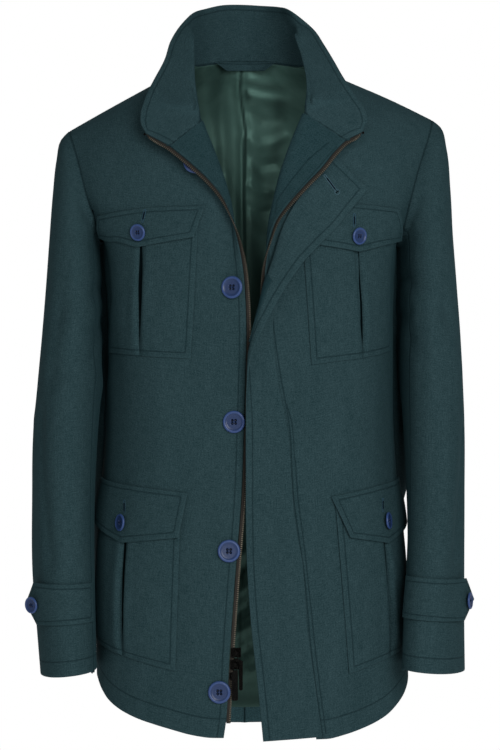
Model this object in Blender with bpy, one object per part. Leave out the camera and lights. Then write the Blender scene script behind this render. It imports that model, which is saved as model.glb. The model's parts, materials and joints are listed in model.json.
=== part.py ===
"""Field jacket, filled out with no wearer, both fronts turned out at the neck.

Metres, +Z up. The wearer faces -Y, so the wearer's left is +X. The origin is where the
shoulders hold the jacket: midway between the shoulder seams, level with the neck points.
Every cloth piece is a thin wall worked out from the short tables below.
"""
import math

import bpy
import numpy as np
from mathutils import Matrix, Vector

MM = 0.001

# Cloth walls, millimetres
SHELL = 1.8
FACING = 1.2
COLLAR = 3.0
LINING = 1.0
POCKET = 1.4
FLAP = 1.8
TAPE = 1.2
SEAM_GAP = 0.3

# Zip tape and the fold of the turned-out fronts, millimetres
TAPE_WIDTH = 5.2
FOLD_RADIUS = 3.0
LEAST_BENT = 3.6

# Buttons and metal, millimetres
BUTTON_BIG = 26.0
BUTTON_SMALL = 20.0
SLIDER_LENGTH = 11.0
SLIDER_PITCH = 14.0
PULL_THICKNESS = 1.2

# Levels that set the rows of the panels, millimetres
UNDERARM = -200.0
HEM_STRAIGHT = -690.0
SHOULDER_LABEL = 0.0
RIGHT, LEFT = -1, 1


def table(names, *rows):
    """A short table as one array for each named column."""
    return dict(zip(names.split(), np.array(rows, float).T))


# Half width and depths of the level sections, and how far the backs swell behind the arms, millimetres
TORSO = table(
    "z      right   left    front   back    power   behind",
    (-830, 186, 192, 137, 133, 2.5, 0),
    (-740, 187, 193, 136, 132, 2.5, 0),
    (-660, 188, 190, 133, 128, 2.5, 0),
    (-580, 187, 187, 130, 124, 2.5, 2),
    (-500, 181, 180, 125, 117, 2.5, 12),
    (-430, 176, 175, 122, 111, 2.5, 18),
    (-350, 174, 174, 126, 114, 2.5, 16),
    (-270, 175, 175, 129, 120, 2.5, 13),
    (-200, 180, 179, 125, 122, 2.5, 6),
    (-100, 180, 179, 123, 120, 2.5, 0),
    (100, 180, 179, 121, 118, 2.5, 0),
)
# Height of the shoulder ridge by distance from the middle; inside the neck it only guides the panels
RIDGE = table(
    "x     right   left",
    (0, 66, 66),
    (40, 45, 45),
    (75, 21, 21),
    (120, -5, 1),
    (172, -34, -21),
    (224, -64, -46),
    (260, -86, -64),
)
# Front view of the armhole seam, and how far round the section it stands
ARMHOLE = table(
    "z     right   left    share",
    (-200, 180, 179, 1.0),
    (-190, 184, 181.5, 0.985),
    (-170, 190, 186, 0.955),
    (-148, 198, 191, 0.935),
    (-108, 208, 202, 0.925),
    (-69, 219, 216, 0.92),
    (-30, 230, 229, 0.92),
)
FRONT_SLOPE = 1.9
BACK_SLOPE = 3.0
# Height of the hem by share of the way out to the side seam
HEM = table(
    "share  right   left    back",
    (0, -787, -793, -806),
    (0.3, -786, -792, -805),
    (0.5, -779, -787, -800),
    (0.65, -772, -780, -791),
    (0.8, -763, -769, -776),
    (0.92, -750, -751, -754),
    (0.97, -738, -739, -740),
    (1, -725, -725, -725),
)
BACK_NECK = 34.0
NECK_WIDTH = 75.0

# Inner edge of each front, keyed by the height of its roll point. The roll turns outward
# above the break, and the cloth edge lies at (edge_x, edge_z), standing edge_lift off the front.
FOLD = {
    RIGHT: table(
        "z     roll_x  edge_x  edge_z  edge_lift",
        (-795, 51.5, 39.5, -795, 0),
        (-769, 47.5, 35.5, -769, 0),
        (-704, 44, 32, -704, 0),
        (-636, 39, 27, -636, 0),
        (-577, 35, 23, -577, 0),
        (-473, 27, 15, -473, 0),
        (-400, 25, 13, -400, 0),
        (-307, 23, 11, -307, 0.4),
        (-260, 24.5, 12.8, -260, 2.2),
        (-228, 27, 16, -228, 5.5),
        (-200, 28.5, 21.5, -200.5, 8.5),
        (-180, 30, 27, -180.5, 10),
        (-160, 32.5, 34, -162, 10.5),
        (-145, 36, 40.5, -149.5, 11.5),
        (-130, 40, 48, -140, 13),
        (-115, 44.5, 56.5, -131, 14.5),
        (-100, 49.5, 65, -123, 16),
        (-85, 55, 75, -114, 17.5),
        (-70, 60.5, 86, -105, 19),
        (-55, 65.5, 96.6, -96.7, 20),
    ),
    LEFT: table(
        "z     roll_x  edge_x  edge_z  edge_lift",
        (-795, 84, 72, -795, 0),
        (-722, 74, 62, -722, 0),
        (-656, 66, 54, -656, 0),
        (-582, 60, 48, -582, 0),
        (-507, 49, 37, -507, 0),
        (-419, 44, 32, -419, 0),
        (-364, 34, 22, -364, 0),
        (-318, 27, 15, -318, 1),
        (-285, 22, 10.5, -285, 4),
        (-253, 19.5, 9.3, -253, 8),
        (-220, 18, 13, -220, 10),
        (-200, 18, 16.8, -200.5, 11),
        (-180, 20, 22, -182.5, 12),
        (-160, 24, 32, -167.6, 13.5),
        (-140, 28.5, 43.5, -152.3, 15),
        (-120, 34, 56.6, -138.7, 17),
        (-100, 41, 69, -126.4, 18),
        (-80, 47.5, 81, -112.8, 19),
        (-60, 56.5, 93, -98.1, 20),
        (-46, 62.5, 103.2, -89, 20),
    ),
}
# Neck seam of each front from the roll up to the shoulder seam
NECKLINE = table(
    "z     right   left",
    (-55, 65.5, 64),
    (-46, 67, 62.5),
    (-15, 71, 69),
    (21, 75, 75),
)
COLLAR_SEAM = {RIGHT: -55.0, LEFT: -46.0}

# Sleeve rings seen from the front, from the armhole to the cuff
SLEEVE = {
    RIGHT: table(
        "ring outer_x outer_z inner_x inner_z middle_y half_depth turn blend",
        (0, 226.5, -64, 184.0, -201, 0, 56, 0, 0),
        (1, 231, -72, 184.6, -203, 0, 60, 0, 0.2),
        (2, 236.5, -97, 185.0, -209, 0, 65, 0, 0.5),
        (3, 241, -140, 184.8, -221, -1, 70, 0, 0.8),
        (4, 245, -195, 184.0, -240, -3, 73, 0, 1),
        (5, 249, -252, 183.2, -268, -6, 74, 0, 1),
        (6, 254, -315, 182.4, -320, -11, 73, 0, 1),
        (7, 259, -372, 183.2, -374, -18, 72, 0, 1),
        (8, 264, -432, 187.5, -432, -28, 70, 2, 1),
        (9, 265, -510, 191, -510, -39, 67, 4, 1),
        (10, 264, -600, 191, -600, -49, 64, 6, 1),
        (11, 259, -660, 190, -655, -55, 63, 6, 1),
        (12, 254, -719, 188.5, -711, -60, 62, 6, 1),
    ),
    LEFT: table(
        "ring outer_x outer_z inner_x inner_z middle_y half_depth turn blend",
        (0, 228.5, -46, 183.0, -200, 0, 56, 0, 0),
        (1, 234.5, -54, 184.0, -202, 0, 60, 0, 0.2),
        (2, 241.5, -80, 184.6, -208, 0, 65, 0, 0.5),
        (3, 245.5, -130, 184.8, -221, -1, 70, 0, 0.8),
        (4, 248, -190, 184.6, -240, -3, 73, 0, 1),
        (5, 252, -250, 184.2, -264, -7, 74, 0, 1),
        (6, 256, -308, 183.8, -312, -13, 73, 1, 1),
        (7, 258.5, -364, 184.0, -364, -22, 72, 3, 1),
        (8, 260, -425, 186, -425, -34, 70, 6, 1),
        (9, 258.5, -500, 187, -500, -50, 67, 10, 1),
        (10, 256, -600, 184, -595, -72, 64, 16, 1),
        (11, 254.5, -658, 179, -652, -84, 63, 20, 1),
        (12, 254, -715, 176, -708, -92, 62, 22, 1),
    ),
}
SLEEVE_POWER = 2.15
FRONT_SEAM, BACK_SEAM = 142.0, 252.0

# Collar stations from the zip end round to the middle of the back. `part` says where a station
# is sewn: 0 on the turned front (seam: share of the way to the cloth edge), 1 on the front neck
# seam (seam: height), 2 on the back neck seam (seam: distance out). Then the crest where it rolls
# over, if it does, and its outer edge.
COLLAR_STATIONS = {
    RIGHT: table(
        "part seam crest_x crest_y crest_z edge_x edge_y edge_z",
        (0, 1.0, 0, 0, 0, 129, -104, -74),
        (0, 0.67, 0, 0, 0, 135, -100, -62),
        (0, 0.33, 0, 0, 0, 135, -94, -48),
        (0, 0.0, 0, 0, 0, 131, -86, -34),
        (1, -54, 69, -94, -45, 126, -76, -20),
        (1, -38, 70, -79, -28, 119, -60, -5),
        (1, -15, 71.5, -54, 3, 106, -36, 22),
        (1, 5, 71, -27, 34, 98, -13, 48),
        (1, 21, 70.5, 0, 64, 85, 8, 71),
        (2, 69, 69, 24, 86, 71, 27, 87.5),
        (2, 52, 52, 56, 94, 52, 58, 96),
        (2, 27, 27, 77, 101, 27, 78, 103),
        (2, 0, 3, 84, 106, 3, 84, 108),
    ),
    LEFT: table(
        "part seam crest_x crest_y crest_z edge_x edge_y edge_z",
        (0, 1.0, 0, 0, 0, 128, -104, -71),
        (0, 0.67, 0, 0, 0, 135, -99, -57),
        (0, 0.33, 0, 0, 0, 133, -91, -43),
        (0, 0.0, 0, 0, 0, 125, -82, -29),
        (1, -45, 66, -90, -37, 117.5, -74, -16),
        (1, -34, 66.5, -77, -23, 110, -60, -1),
        (1, -15, 66, -53, 3, 101, -37, 21),
        (1, 5, 62, -24, 34, 91, -12, 44),
        (1, 21, 55, 2, 64, 80, 10, 66),
        (2, 69, 47, 26, 92, 50, 29, 94),
        (2, 52, 38, 54, 98, 38, 56, 100),
        (2, 27, 20, 76, 102, 20, 77, 104),
        (2, 0, -3, 84, 106, -3, 84, 108),
    ),
}

# Storm flap on the wearer's left front, hem to top: sewn edge, two guides, free edge
STORM = table(
    "seam_x seam_z seam_lift near_x near_lift far_x far_lift free_x free_z free_lift",
    (78, -786, 2.5, 55, 3.2, 31, 3.8, 8, -790, 4),
    (69, -722, 2.5, 47, 3.6, 24, 4.6, 2, -728, 4.5),
    (60, -656, 2.5, 38, 4, 16, 6, -6, -654, 5.5),
    (55, -582, 2.5, 33, 5, 11, 8, -11, -577, 7),
    (46, -530, 3.0, 26, 6, 7, 10, -12, -528, 9),
    (42, -480, 3.0, 23, 6.5, 3, 12, -12, -478, 12),
    (38, -425, 3.0, 17, 7, -3, 12, -12, -424, 15),
    (27, -370, 2.5, 5, 5.5, -11, 9, -11, -370, 18),
    (22, -330, 2.8, -2, 6.5, -16, 12, -6, -337, 21),
    (20, -300, 3.4, 0, 9, -12, 16, 4, -312, 22),
    (19.5, -270, 4.2, 5, 12.5, -6, 20, 15, -290, 21.5),
    (20, -243, 4.8, 9, 13, 2, 20, 27, -268, 20),
    (22.5, -218, 5.2, 17, 12, 15, 17, 40, -248, 17),
    (29, -192, 5.6, 31, 10, 37, 14, 55, -227, 14),
    (43, -163, 6, 50, 8, 60, 11, 74, -206, 12),
    (60, -139, 6.5, 70, 7.5, 82, 9.5, 93, -186, 10.5),
    (75, -119, 7, 87, 7.5, 100, 8.5, 113, -162, 9.5),
    (90, -99, 7.5, 104, 7.5, 118, 8, 132, -140, 9),
)

# Patch pockets: distances round the front of the inner edge, pleat and outer edge, top then
# bottom; heights of the top and of the inner and outer bottom corners; fullness
POCKETS = {
    "chest_right": (RIGHT, dict(tops=(67, 137, 206), bottoms=(76, 141, 214),
                                top=-176, bases=(-341, -333), swell=5)),
    "chest_left": (LEFT, dict(tops=(54, 127, 199), bottoms=(66, 132, 197),
                              top=-178, bases=(-348, -331), swell=4.4)),
    "hip_right": (RIGHT, dict(tops=(88, 160, 234), bottoms=(95, 165, 243),
                              top=-511, bases=(-709, -678), swell=7)),
    "hip_left": (LEFT, dict(tops=(96, 162, 232), bottoms=(112, 173, 243),
                            top=-515, bases=(-714, -680), swell=7)),
}
# Pointed flaps: the same three distances at the top and bottom edge, with their heights
POCKET_FLAPS = {
    "chest_right": dict(tops=(59, 134, 205), top_heights=(-166, -160, -160),
                        bottoms=(72, 140, 210), bottom_heights=(-198, -209, -190),
                        button=-189, button_off=1.4),
    "chest_left": dict(tops=(50, 118, 184), top_heights=(-162, -157, -155),
                       bottoms=(55, 124, 206), bottom_heights=(-204, -214, -194),
                       button=-194, button_off=1.9),
    "hip_right": dict(tops=(80, 158, 236), top_heights=(-499, -491, -484),
                      bottoms=(90, 163, 241), bottom_heights=(-552, -560, -534),
                      button=-536, button_off=0.9),
    "hip_left": dict(tops=(90, 160, 236), top_heights=(-504, -492, -484),
                     bottoms=(112, 167, 242), bottom_heights=(-553, -562, -536),
                     button=-535, button_off=0.9),
}
FLAP_SEAM_LIFT, FLAP_FALL_LIFT = 2.75, 5.4

# Cuff tabs: round the sleeve from the front seam to the pointed end, which stands off
CUFF_TABS = {
    RIGHT: dict(end=4, base=3.2, lift=9, button=26, button_off=2.0),
    LEFT: dict(end=-14, base=3.6, lift=9, button=6, button_off=1.7),
}

# Front buttons down the wearer's right front: height, distance in from the cloth edge, lift
FRONT_BUTTONS = ((-257, 14, 2.0), (-415, 11.5, 0.0), (-567, 9, -0.3), (-732, 9.5, -0.3))
TURNED_BUTTON = (-86.0, 12.0)

SLIDER_TOP = -686.0
ZIP_BOX_DROP = 27.5


# ---------------------------------------------------------------- reading the tables


def slopes(key, values):
    """Slopes at the rows of a table for a smooth curve that never overshoots them."""
    step = np.diff(key)
    rise = np.diff(values) / step
    inner = []
    for left, right, a, b in zip(rise[:-1], rise[1:], step[:-1], step[1:]):
        if left * right <= 0:
            inner.append(0.0)
        else:
            inner.append((a + b) * 3 / ((2 * b + a) / left + (b + 2 * a) / right))
    return np.array([rise[0], *inner, rise[-1]])


def smooth(key, values, at):
    """Value at `at` on the smooth curve through a table's rows."""
    at = min(max(at, key[0]), key[-1])
    low = min(max(int(np.searchsorted(key, at)) - 1, 0), len(key) - 2)
    grade = slopes(key, values)
    width = key[low + 1] - key[low]
    t = (at - key[low]) / width
    start, stop = values[low], values[low + 1]
    return ((1 + 2 * t) * (1 - t) ** 2 * start + t * t * (3 - 2 * t) * stop
            + t * (1 - t) ** 2 * width * grade[low] - t * t * (1 - t) * width * grade[low + 1])


def read(source, key, at, *names):
    return [smooth(source[key], source[name], at) for name in names]


def side_name(side):
    return "left" if side == LEFT else "right"


# ---------------------------------------------------------------- the torso surface


def ridge_height(side, x):
    return smooth(RIDGE["x"], RIDGE[side_name(side)], abs(x))


def half_width(side, z):
    """Half width of the level section; above the underarm it follows the armhole."""
    if z <= UNDERARM:
        return smooth(TORSO["z"], TORSO[side_name(side)], z)
    edge, share = read(ARMHOLE, "z", z, side_name(side), "share")
    return edge / share


def depth_at(side, face, x, z):
    """Depth of the cloth in front of (face 'front') or behind the middle plane."""
    depth, power = read(TORSO, "z", z, face, "power")
    inside = max(0.0, 1 - (abs(x) / half_width(side, z)) ** power) ** (1 / power)
    if z <= UNDERARM:
        return depth * inside
    slope = FRONT_SLOPE if face == "front" else BACK_SLOPE
    climb = min(1.0, (z - UNDERARM) / (ridge_height(side, x) - UNDERARM))
    return depth * inside * max(0.0, 1 - climb ** slope) ** (1 / slope)


# Step for slopes measured on the surface, and rounds of halving to find a place on it
STEP = 1.5
HALVINGS = 40


def on_front(side, x, z, lift=0.0):
    """Point of the front at outward distance x (negative across the middle), `lift` off it."""
    point = np.array([side * x, -depth_at(side, "front", x, z), z])
    fall = depth_at(side, "front", x - STEP, z) - depth_at(side, "front", x + STEP, z)
    lean = depth_at(side, "front", x, z - STEP) - depth_at(side, "front", x, z + STEP)
    across = np.array([2 * STEP, fall, 0])
    rise = np.array([0, lean, 2 * STEP])
    across[0] *= side
    out = np.cross(across, rise) * side
    return point + lift * out / np.linalg.norm(out)


def neck_height(x):
    return BACK_NECK + (RIDGE["right"][2] - BACK_NECK) * (x / NECK_WIDTH) ** 2


def row_height(side, x, label, face="front"):
    """Height at x of the row with this label: level up to the underarm, the shoulder seam at 0."""
    if label <= UNDERARM:
        return label
    climb = (label - UNDERARM) / (SHOULDER_LABEL - UNDERARM)
    top = ridge_height(side, x)
    if face == "back" and x < NECK_WIDTH:
        top = neck_height(x)
    return UNDERARM + climb * (top - UNDERARM)


WIDEST = 240.0


def row_end(side, label):
    """Distance out to the side seam or armhole on a row."""
    if label <= UNDERARM:
        return half_width(side, label)
    low, high = half_width(side, UNDERARM) * 0.9, WIDEST
    for _ in range(HALVINGS):
        x = (low + high) / 2
        if x < smooth(ARMHOLE["z"], ARMHOLE[side_name(side)], row_height(side, x, label)):
            low = x
        else:
            high = x
    return (low + high) / 2


def hem_height(side, face, share):
    return smooth(HEM["share"], HEM["back" if face == "back" else side_name(side)], abs(share))


SWELL_FROM = 0.6


def behind_arm(share, z):
    """Swell of a back row at a share of the way out, gone at the side seam."""
    window = min(max((share - SWELL_FROM) / (1 - SWELL_FROM), 0), 1)
    return smooth(TORSO["z"], TORSO["behind"], z) * math.sin(math.pi * window) ** 2


ROWS = {}
ROW_POINTS = 120


def torso_row(side, face, label, hem=None):
    """Fine line of a row from the middle out to its end. `hem` 0 to 1 leads it down to the hem."""
    key = (side, face, round(label, 4), hem)
    if key not in ROWS:
        end = row_end(side, label)
        line = []
        for k in range(ROW_POINTS + 1):
            x = end * math.sin(math.pi / 2 * k / ROW_POINTS)
            z = row_height(side, x, label, face)
            if hem is not None:
                bottom = hem_height(side, face, x / end)
                z = bottom + (HEM_STRAIGHT - bottom) * hem
                x *= half_width(side, z) / end
            depth = depth_at(side, face, x, z)
            if face == "back":
                x += behind_arm(k / ROW_POINTS, z)
            line.append((side * x, -depth if face == "front" else depth, z))
        line = np.array(line)
        length = np.concatenate([[0], np.cumsum(np.linalg.norm(np.diff(line, axis=0), axis=1))])
        ROWS[key] = (line, length)
    return ROWS[key]


def along(row, distance):
    line, length = row
    return np.array([np.interp(distance, length, line[:, k]) for k in range(3)])


def on_torso(side, face, distance, label, lift=0.0):
    """Point at a tape-measure distance round from the middle, moved `lift` out of the cloth."""
    row = torso_row(side, face, label)
    point = along(row, distance)
    if not lift:
        return point
    near, far = along(row, distance - STEP), along(row, distance + STEP)
    low = along(torso_row(side, face, label - STEP), distance)
    high = along(torso_row(side, face, label + STEP), distance)
    out = np.cross(far - near, high - low) * side * (1 if face == "front" else -1)
    return point + lift * out / np.linalg.norm(out)


# ---------------------------------------------------------------- walls of cloth


def faces_of(points):
    """Quads of a grid; a corner that is nan is left out."""
    rows, cols = points.shape[:2]
    there = ~np.isnan(points[:, :, 0])
    quads = []
    for i in range(rows - 1):
        for j in range(cols - 1):
            if there[i, j] and there[i, j + 1] and there[i + 1, j] and there[i + 1, j + 1]:
                quads.append((i * cols + j, i * cols + j + 1, (i + 1) * cols + j + 1, (i + 1) * cols + j))
    return quads


def quad_normal(flat, quad):
    a, b, c, d = (flat[k] for k in quad)
    return np.cross(c - a, d - b)


CORNERS_PER_MM = 20


def corner_key(point):
    return tuple(np.round(point * CORNERS_PER_MM).astype(int))


def shared_normals(grids):
    """Unit normals of several grids; corners that coincide get the same one."""
    total = {}
    for points in grids.values():
        flat = points.reshape(-1, 3)
        for quad in faces_of(points):
            normal = quad_normal(flat, quad)
            for k in quad:
                key = corner_key(flat[k])
                total[key] = total.get(key, np.zeros(3)) + normal
    result = {}
    for name, points in grids.items():
        flat = points.reshape(-1, 3)
        normals = np.zeros_like(flat)
        for k, point in enumerate(flat):
            if not np.isnan(point[0]):
                normal = total.get(corner_key(point), np.array([0, 0, 1.0]))
                normals[k] = normal / np.linalg.norm(normal)
        result[name] = normals.reshape(points.shape)
    return result


def draw_in(points, edge, amount):
    """Pull one edge row or column of a grid inward by `amount`."""
    points = points.copy()
    view = points if edge in ("first_row", "last_row") else points.transpose(1, 0, 2)
    last = edge.startswith("last")
    rim, inner = (view[-1], view[-2]) if last else (view[0], view[1])
    run = inner - rim
    rim += run / np.maximum(np.linalg.norm(run, axis=1, keepdims=True), 1e-9) * amount
    return points


def wall(name, points, thickness, look, normals=None, offset=0.0):
    """Closed wall of the given thickness about a grid of points, as one object."""
    if normals is None:
        normals = shared_normals({name: points})[name]
    flat, out = points.reshape(-1, 3), normals.reshape(-1, 3)
    quads = faces_of(points)
    used = sorted({k for quad in quads for k in quad})
    index = {k: n for n, k in enumerate(used)}
    count = len(used)
    outer = [flat[k] + out[k] * (offset + thickness / 2) for k in used]
    inner = [flat[k] + out[k] * (offset - thickness / 2) for k in used]
    faces = []
    edges = {}
    for quad in quads:
        a, b, c, d = (index[k] for k in quad)
        for ids in ((a, b, c), (a, c, d)):
            faces.append(ids)
            faces.append([count + k for k in reversed(ids)])
        for edge in ((a, b), (b, c), (c, d), (d, a)):
            edges[edge] = True
    for a, b in edges:
        if (b, a) not in edges:
            faces.append([b, a, count + a, count + b])
    return add_object(name, [p * MM for p in outer + inner], faces, look)


SHARP_ANGLE = math.radians(40)


def add_object(name, corners, faces, look):
    mesh = bpy.data.meshes.new(name)
    mesh.from_pydata([tuple(p) for p in corners], [], faces)
    mesh.materials.append(look)
    mesh.shade_smooth()
    mesh.set_sharp_from_angle(angle=SHARP_ANGLE)
    thing = bpy.data.objects.new(name, mesh)
    bpy.context.scene.collection.objects.link(thing)
    return thing


def material(name, colour, roughness, metallic=0.0):
    look = bpy.data.materials.new(name)
    look.use_nodes = True
    shader = look.node_tree.nodes["Principled BSDF"]
    shader.inputs["Base Color"].default_value = (*colour, 1)
    shader.inputs["Roughness"].default_value = roughness
    shader.inputs["Metallic"].default_value = metallic
    return look


def wool(name):
    return material(name + "_wool", (0.021, 0.046, 0.058), 0.9)


# ---------------------------------------------------------------- fronts and backs

BODY_LABELS = (-600, -500, -420, -360, -310, -270, -235, UNDERARM)
UPPER_LABELS = (-182, -160, -135, -110, -85, -60, -38, -17, SHOULDER_LABEL)
BACK_BODY = (-600, -500, -400, -310, -250, UNDERARM)
BACK_UPPER = (-175, -140, -100, -65, -35, -12, SHOULDER_LABEL)
HEM_STEPS = (0.0, 0.18, 1.0)
FRONT_COLUMNS, BACK_COLUMNS = 9, 8
NECK_ALLOWANCE = 1.6


def inner_limit(side, label):
    """Outward distance and height where a front's row meets its roll line or neck seam."""
    fold, neck = FOLD[side], NECKLINE
    if label <= UNDERARM:
        return smooth(fold["z"], fold["roll_x"], label), label
    low, high = 5.0, NECK_WIDTH + MM
    for _ in range(HALVINGS):
        x = (low + high) / 2
        z = row_height(side, x, label)
        if z < COLLAR_SEAM[side]:
            edge = smooth(fold["z"], fold["roll_x"], z)
        else:
            edge = smooth(neck["z"], neck[side_name(side)], z)
        if x < edge:
            low = x
        else:
            high = x
    x = (low + high) / 2
    return x, row_height(side, x, label)


ARC_STEPS, RUN_STEPS = 4, 3
RADIUS_SHARE, BENT_SHARE, LEAST_LIFT = 0.4, 0.3, 0.01


def turned_part(side, roll_z):
    """Corners past the roll point: round the fold, then straight out to the cloth edge."""
    roll_x, edge_x, edge_z, lift = read(FOLD[side], "z", roll_z, "roll_x", "edge_x", "edge_z", "edge_lift")
    across, down = roll_x - edge_x, edge_z - roll_z
    radius = min(FOLD_RADIUS, max(lift, LEAST_LIFT) * RADIUS_SHARE)
    reach = math.hypot(across, lift - radius)
    run = math.sqrt(reach * reach - radius * radius)
    bend = math.atan2(lift - radius, across) + math.atan2(radius, run)
    if bend < 0 and across < 0:
        bend += 2 * math.pi
    arc = radius * bend
    total = arc + run
    bent = max(arc, min(LEAST_BENT, total * BENT_SHARE))
    stops = [bent * k / ARC_STEPS for k in range(1, ARC_STEPS + 1)]
    stops += [bent + (total - bent) * k / RUN_STEPS for k in range(1, RUN_STEPS + 1)]
    points = []
    for stop in stops:
        turn, way = min(stop, arc) / radius, max(stop - arc, 0)
        points.append((radius * math.sin(turn) + way * math.cos(bend),
                       radius * (1 - math.cos(turn)) + way * math.sin(bend), stop / total))
    return [on_front(side, roll_x - p[0], roll_z + down * p[2], p[1]) for p in points]


def collar_seam_label(side):
    """Label of the row that passes through the roll line where the collar is sewn on."""
    low, high = UNDERARM, SHOULDER_LABEL
    for _ in range(HALVINGS):
        label = (low + high) / 2
        if inner_limit(side, label)[1] < COLLAR_SEAM[side]:
            low = label
        else:
            high = label
    return (low + high) / 2


LABEL_SPACE = 8


def front_labels(side):
    seam = collar_seam_label(side)
    below = [label for label in UPPER_LABELS if label < seam - LABEL_SPACE]
    above = [label for label in UPPER_LABELS if label > seam + LABEL_SPACE]
    return [*BODY_LABELS, *below, seam, *above], seam


ROLL_SHARE = 0.25


def front_grid(side):
    """Rows of a front from the hem up; the turned part ends at the collar seam."""
    labels, seam = front_labels(side)
    rows = []
    for label, hem in [(HEM_STRAIGHT, step) for step in HEM_STEPS] + [(label, None) for label in labels]:
        row = torso_row(side, "front", label, hem)
        if hem is None:
            x, z = inner_limit(side, label)
        else:
            z = hem_height(side, "front", ROLL_SHARE) * (1 - hem) + HEM_STRAIGHT * hem
            x = smooth(FOLD[side]["z"], FOLD[side]["roll_x"], z)
        start = np.interp(x, np.abs(row[0][:, 0]), row[1]) + (NECK_ALLOWANCE if label > seam else 0)
        points = [along(row, start + (row[1][-1] - start) * (1 - k / FRONT_COLUMNS))
                  for k in range(FRONT_COLUMNS + 1)]
        if label <= seam:
            height = points[-1][2] if hem is not None else z
            turned = turned_part(side, height)
        else:
            turned = [np.full(3, np.nan)] * (ARC_STEPS + RUN_STEPS)
        rows.append(points + turned)
    grid = np.array(rows)
    return grid if side == RIGHT else grid[:, ::-1]


def back_grid(side):
    rows = []
    labels = [*BACK_BODY, *BACK_UPPER]
    for label, hem in [(HEM_STRAIGHT, step) for step in HEM_STEPS] + [(label, None) for label in labels]:
        row = torso_row(side, "back", label, hem)
        rows.append([along(row, row[1][-1] * k / BACK_COLUMNS) for k in range(BACK_COLUMNS + 1)])
    grid = np.array(rows)
    return grid[:, ::-1] if side == LEFT else grid


def level_ridge(grid, normals):
    """On the shoulder seam both panels face straight up, so their edges lie flat together."""
    for k in range(grid.shape[1]):
        if abs(grid[-1, k, 0]) >= NECK_WIDTH - 1:
            normals[-1, k, 1] = 0
            normals[-1, k] /= np.linalg.norm(normals[-1, k])


SEAM_DRAW = SEAM_GAP / 2 + 0.1


def build_torso():
    grids = {"front_right": front_grid(RIGHT), "front_left": front_grid(LEFT),
             "back_right": back_grid(RIGHT), "back_left": back_grid(LEFT)}
    normals = shared_normals(grids)
    for name, out in normals.items():
        level_ridge(grids[name], out)
    seams = {
        "front_right": ("first_col", "last_row"), "front_left": ("last_col", "last_row"),
        "back_right": ("first_col", "last_col", "last_row"),
        "back_left": ("first_col", "last_col", "last_row"),
    }
    for name, grid in grids.items():
        for edge in seams[name]:
            grid = draw_in(grid, edge, SEAM_DRAW)
        wall(name, grid, SHELL, wool(name), normals[name])
    return grids, normals


# ---------------------------------------------------------------- sleeves

SLEEVE_RINGS = range(13)
SLEEVE_GAP = 1.6
SLEEVE_SEAM_DRAW = SEAM_GAP / 2 + 0.05
ANGLE_STEP, RING_STEP = 2, 0.05
UPPER_COLUMNS, UNDER_COLUMNS = 12, 6
ARMHOLES = {}


def armhole_frame(side):
    """Fine armhole line through both panels, with the middle, half span and pole of its plane."""
    if side not in ARMHOLES:
        halves = []
        for face in ("front", "back"):
            labels = np.linspace(SHOULDER_LABEL, UNDERARM, 41)
            line = np.array([torso_row(side, face, label)[0][-1] for label in labels])
            length = np.concatenate([[0], np.cumsum(np.linalg.norm(np.diff(line, axis=0), axis=1))])
            halves.append((line, length))
        tip, pit = halves[0][0][0], halves[0][0][-1]
        span = (tip - pit) / 2
        pole = np.array([abs(span[2]) * side, 0, -abs(span[0])]) / np.linalg.norm(span)
        ARMHOLES[side] = (halves, (tip + pit) / 2, span, pole)
    return ARMHOLES[side]


def armhole_shape(side, angle):
    """Armhole seam at an angle round it: shares along the span and depth, and the stray from its plane."""
    halves, middle, span, pole = armhole_frame(side)
    angle %= 360
    line, length = halves[0] if angle <= 180 else halves[1]
    share = angle / 180 if angle <= 180 else (360 - angle) / 180
    away = along((line, length), length[-1] * share) - middle
    return away @ span / (span @ span), away[1], away @ pole


def power_curve(value):
    return math.copysign(abs(value) ** (2 / SLEEVE_POWER), value)


def on_sleeve(side, angle, ring, lift=0.0):
    """Point of the sleeve: angle 0 outside, 90 in front, 180 inside; ring 0 armhole to 12 cuff."""
    if lift:
        around = on_sleeve(side, angle + ANGLE_STEP, ring) - on_sleeve(side, angle - ANGLE_STEP, ring)
        down = on_sleeve(side, angle, ring + RING_STEP) - on_sleeve(side, angle, ring - RING_STEP)
        out = np.cross(around, down) * side
        return on_sleeve(side, angle, ring) + lift * out / np.linalg.norm(out)
    outer_x, outer_z, inner_x, inner_z, middle_y, depth, turn, blend = read(
        SLEEVE[side], "ring", ring, "outer_x", "outer_z", "inner_x", "inner_z",
        "middle_y", "half_depth", "turn", "blend")
    outer, inner = np.array([side * outer_x, 0, outer_z]), np.array([side * inner_x, 0, inner_z])
    span = (outer - inner) / 2
    half, lean = np.linalg.norm(span), math.radians(turn)
    width = math.sqrt(half * half - (depth * math.sin(lean)) ** 2) / math.cos(lean)
    along_u = power_curve(math.cos(math.radians(angle)))
    along_v = -power_curve(math.sin(math.radians(angle)))
    hole_u, hole_y, stray = armhole_shape(side, angle)
    u = (along_u * blend + hole_u * (1 - blend)) * width
    v = along_v * blend * depth + hole_y * (1 - blend) * depth / SLEEVE[side]["half_depth"][0]
    point = (outer + inner) / 2 + span / half * (u * math.cos(lean) + v * math.sin(lean))
    point = point + np.array([0, middle_y + v * math.cos(lean) - u * math.sin(lean), 0])
    return point + armhole_frame(side)[3] * stray * (1 - blend)


def fit_armholes():
    """The first sleeve ring is the armhole itself, moved out by the seam's gap."""
    for side in (RIGHT, LEFT):
        halves, middle, span, pole = armhole_frame(side)
        tip, pit = middle + span + pole * SLEEVE_GAP, middle - span + pole * SLEEVE_GAP
        for name, value in (("outer_x", abs(tip[0])), ("outer_z", tip[2]),
                            ("inner_x", abs(pit[0])), ("inner_z", pit[2])):
            SLEEVE[side][name][0] = value


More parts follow.
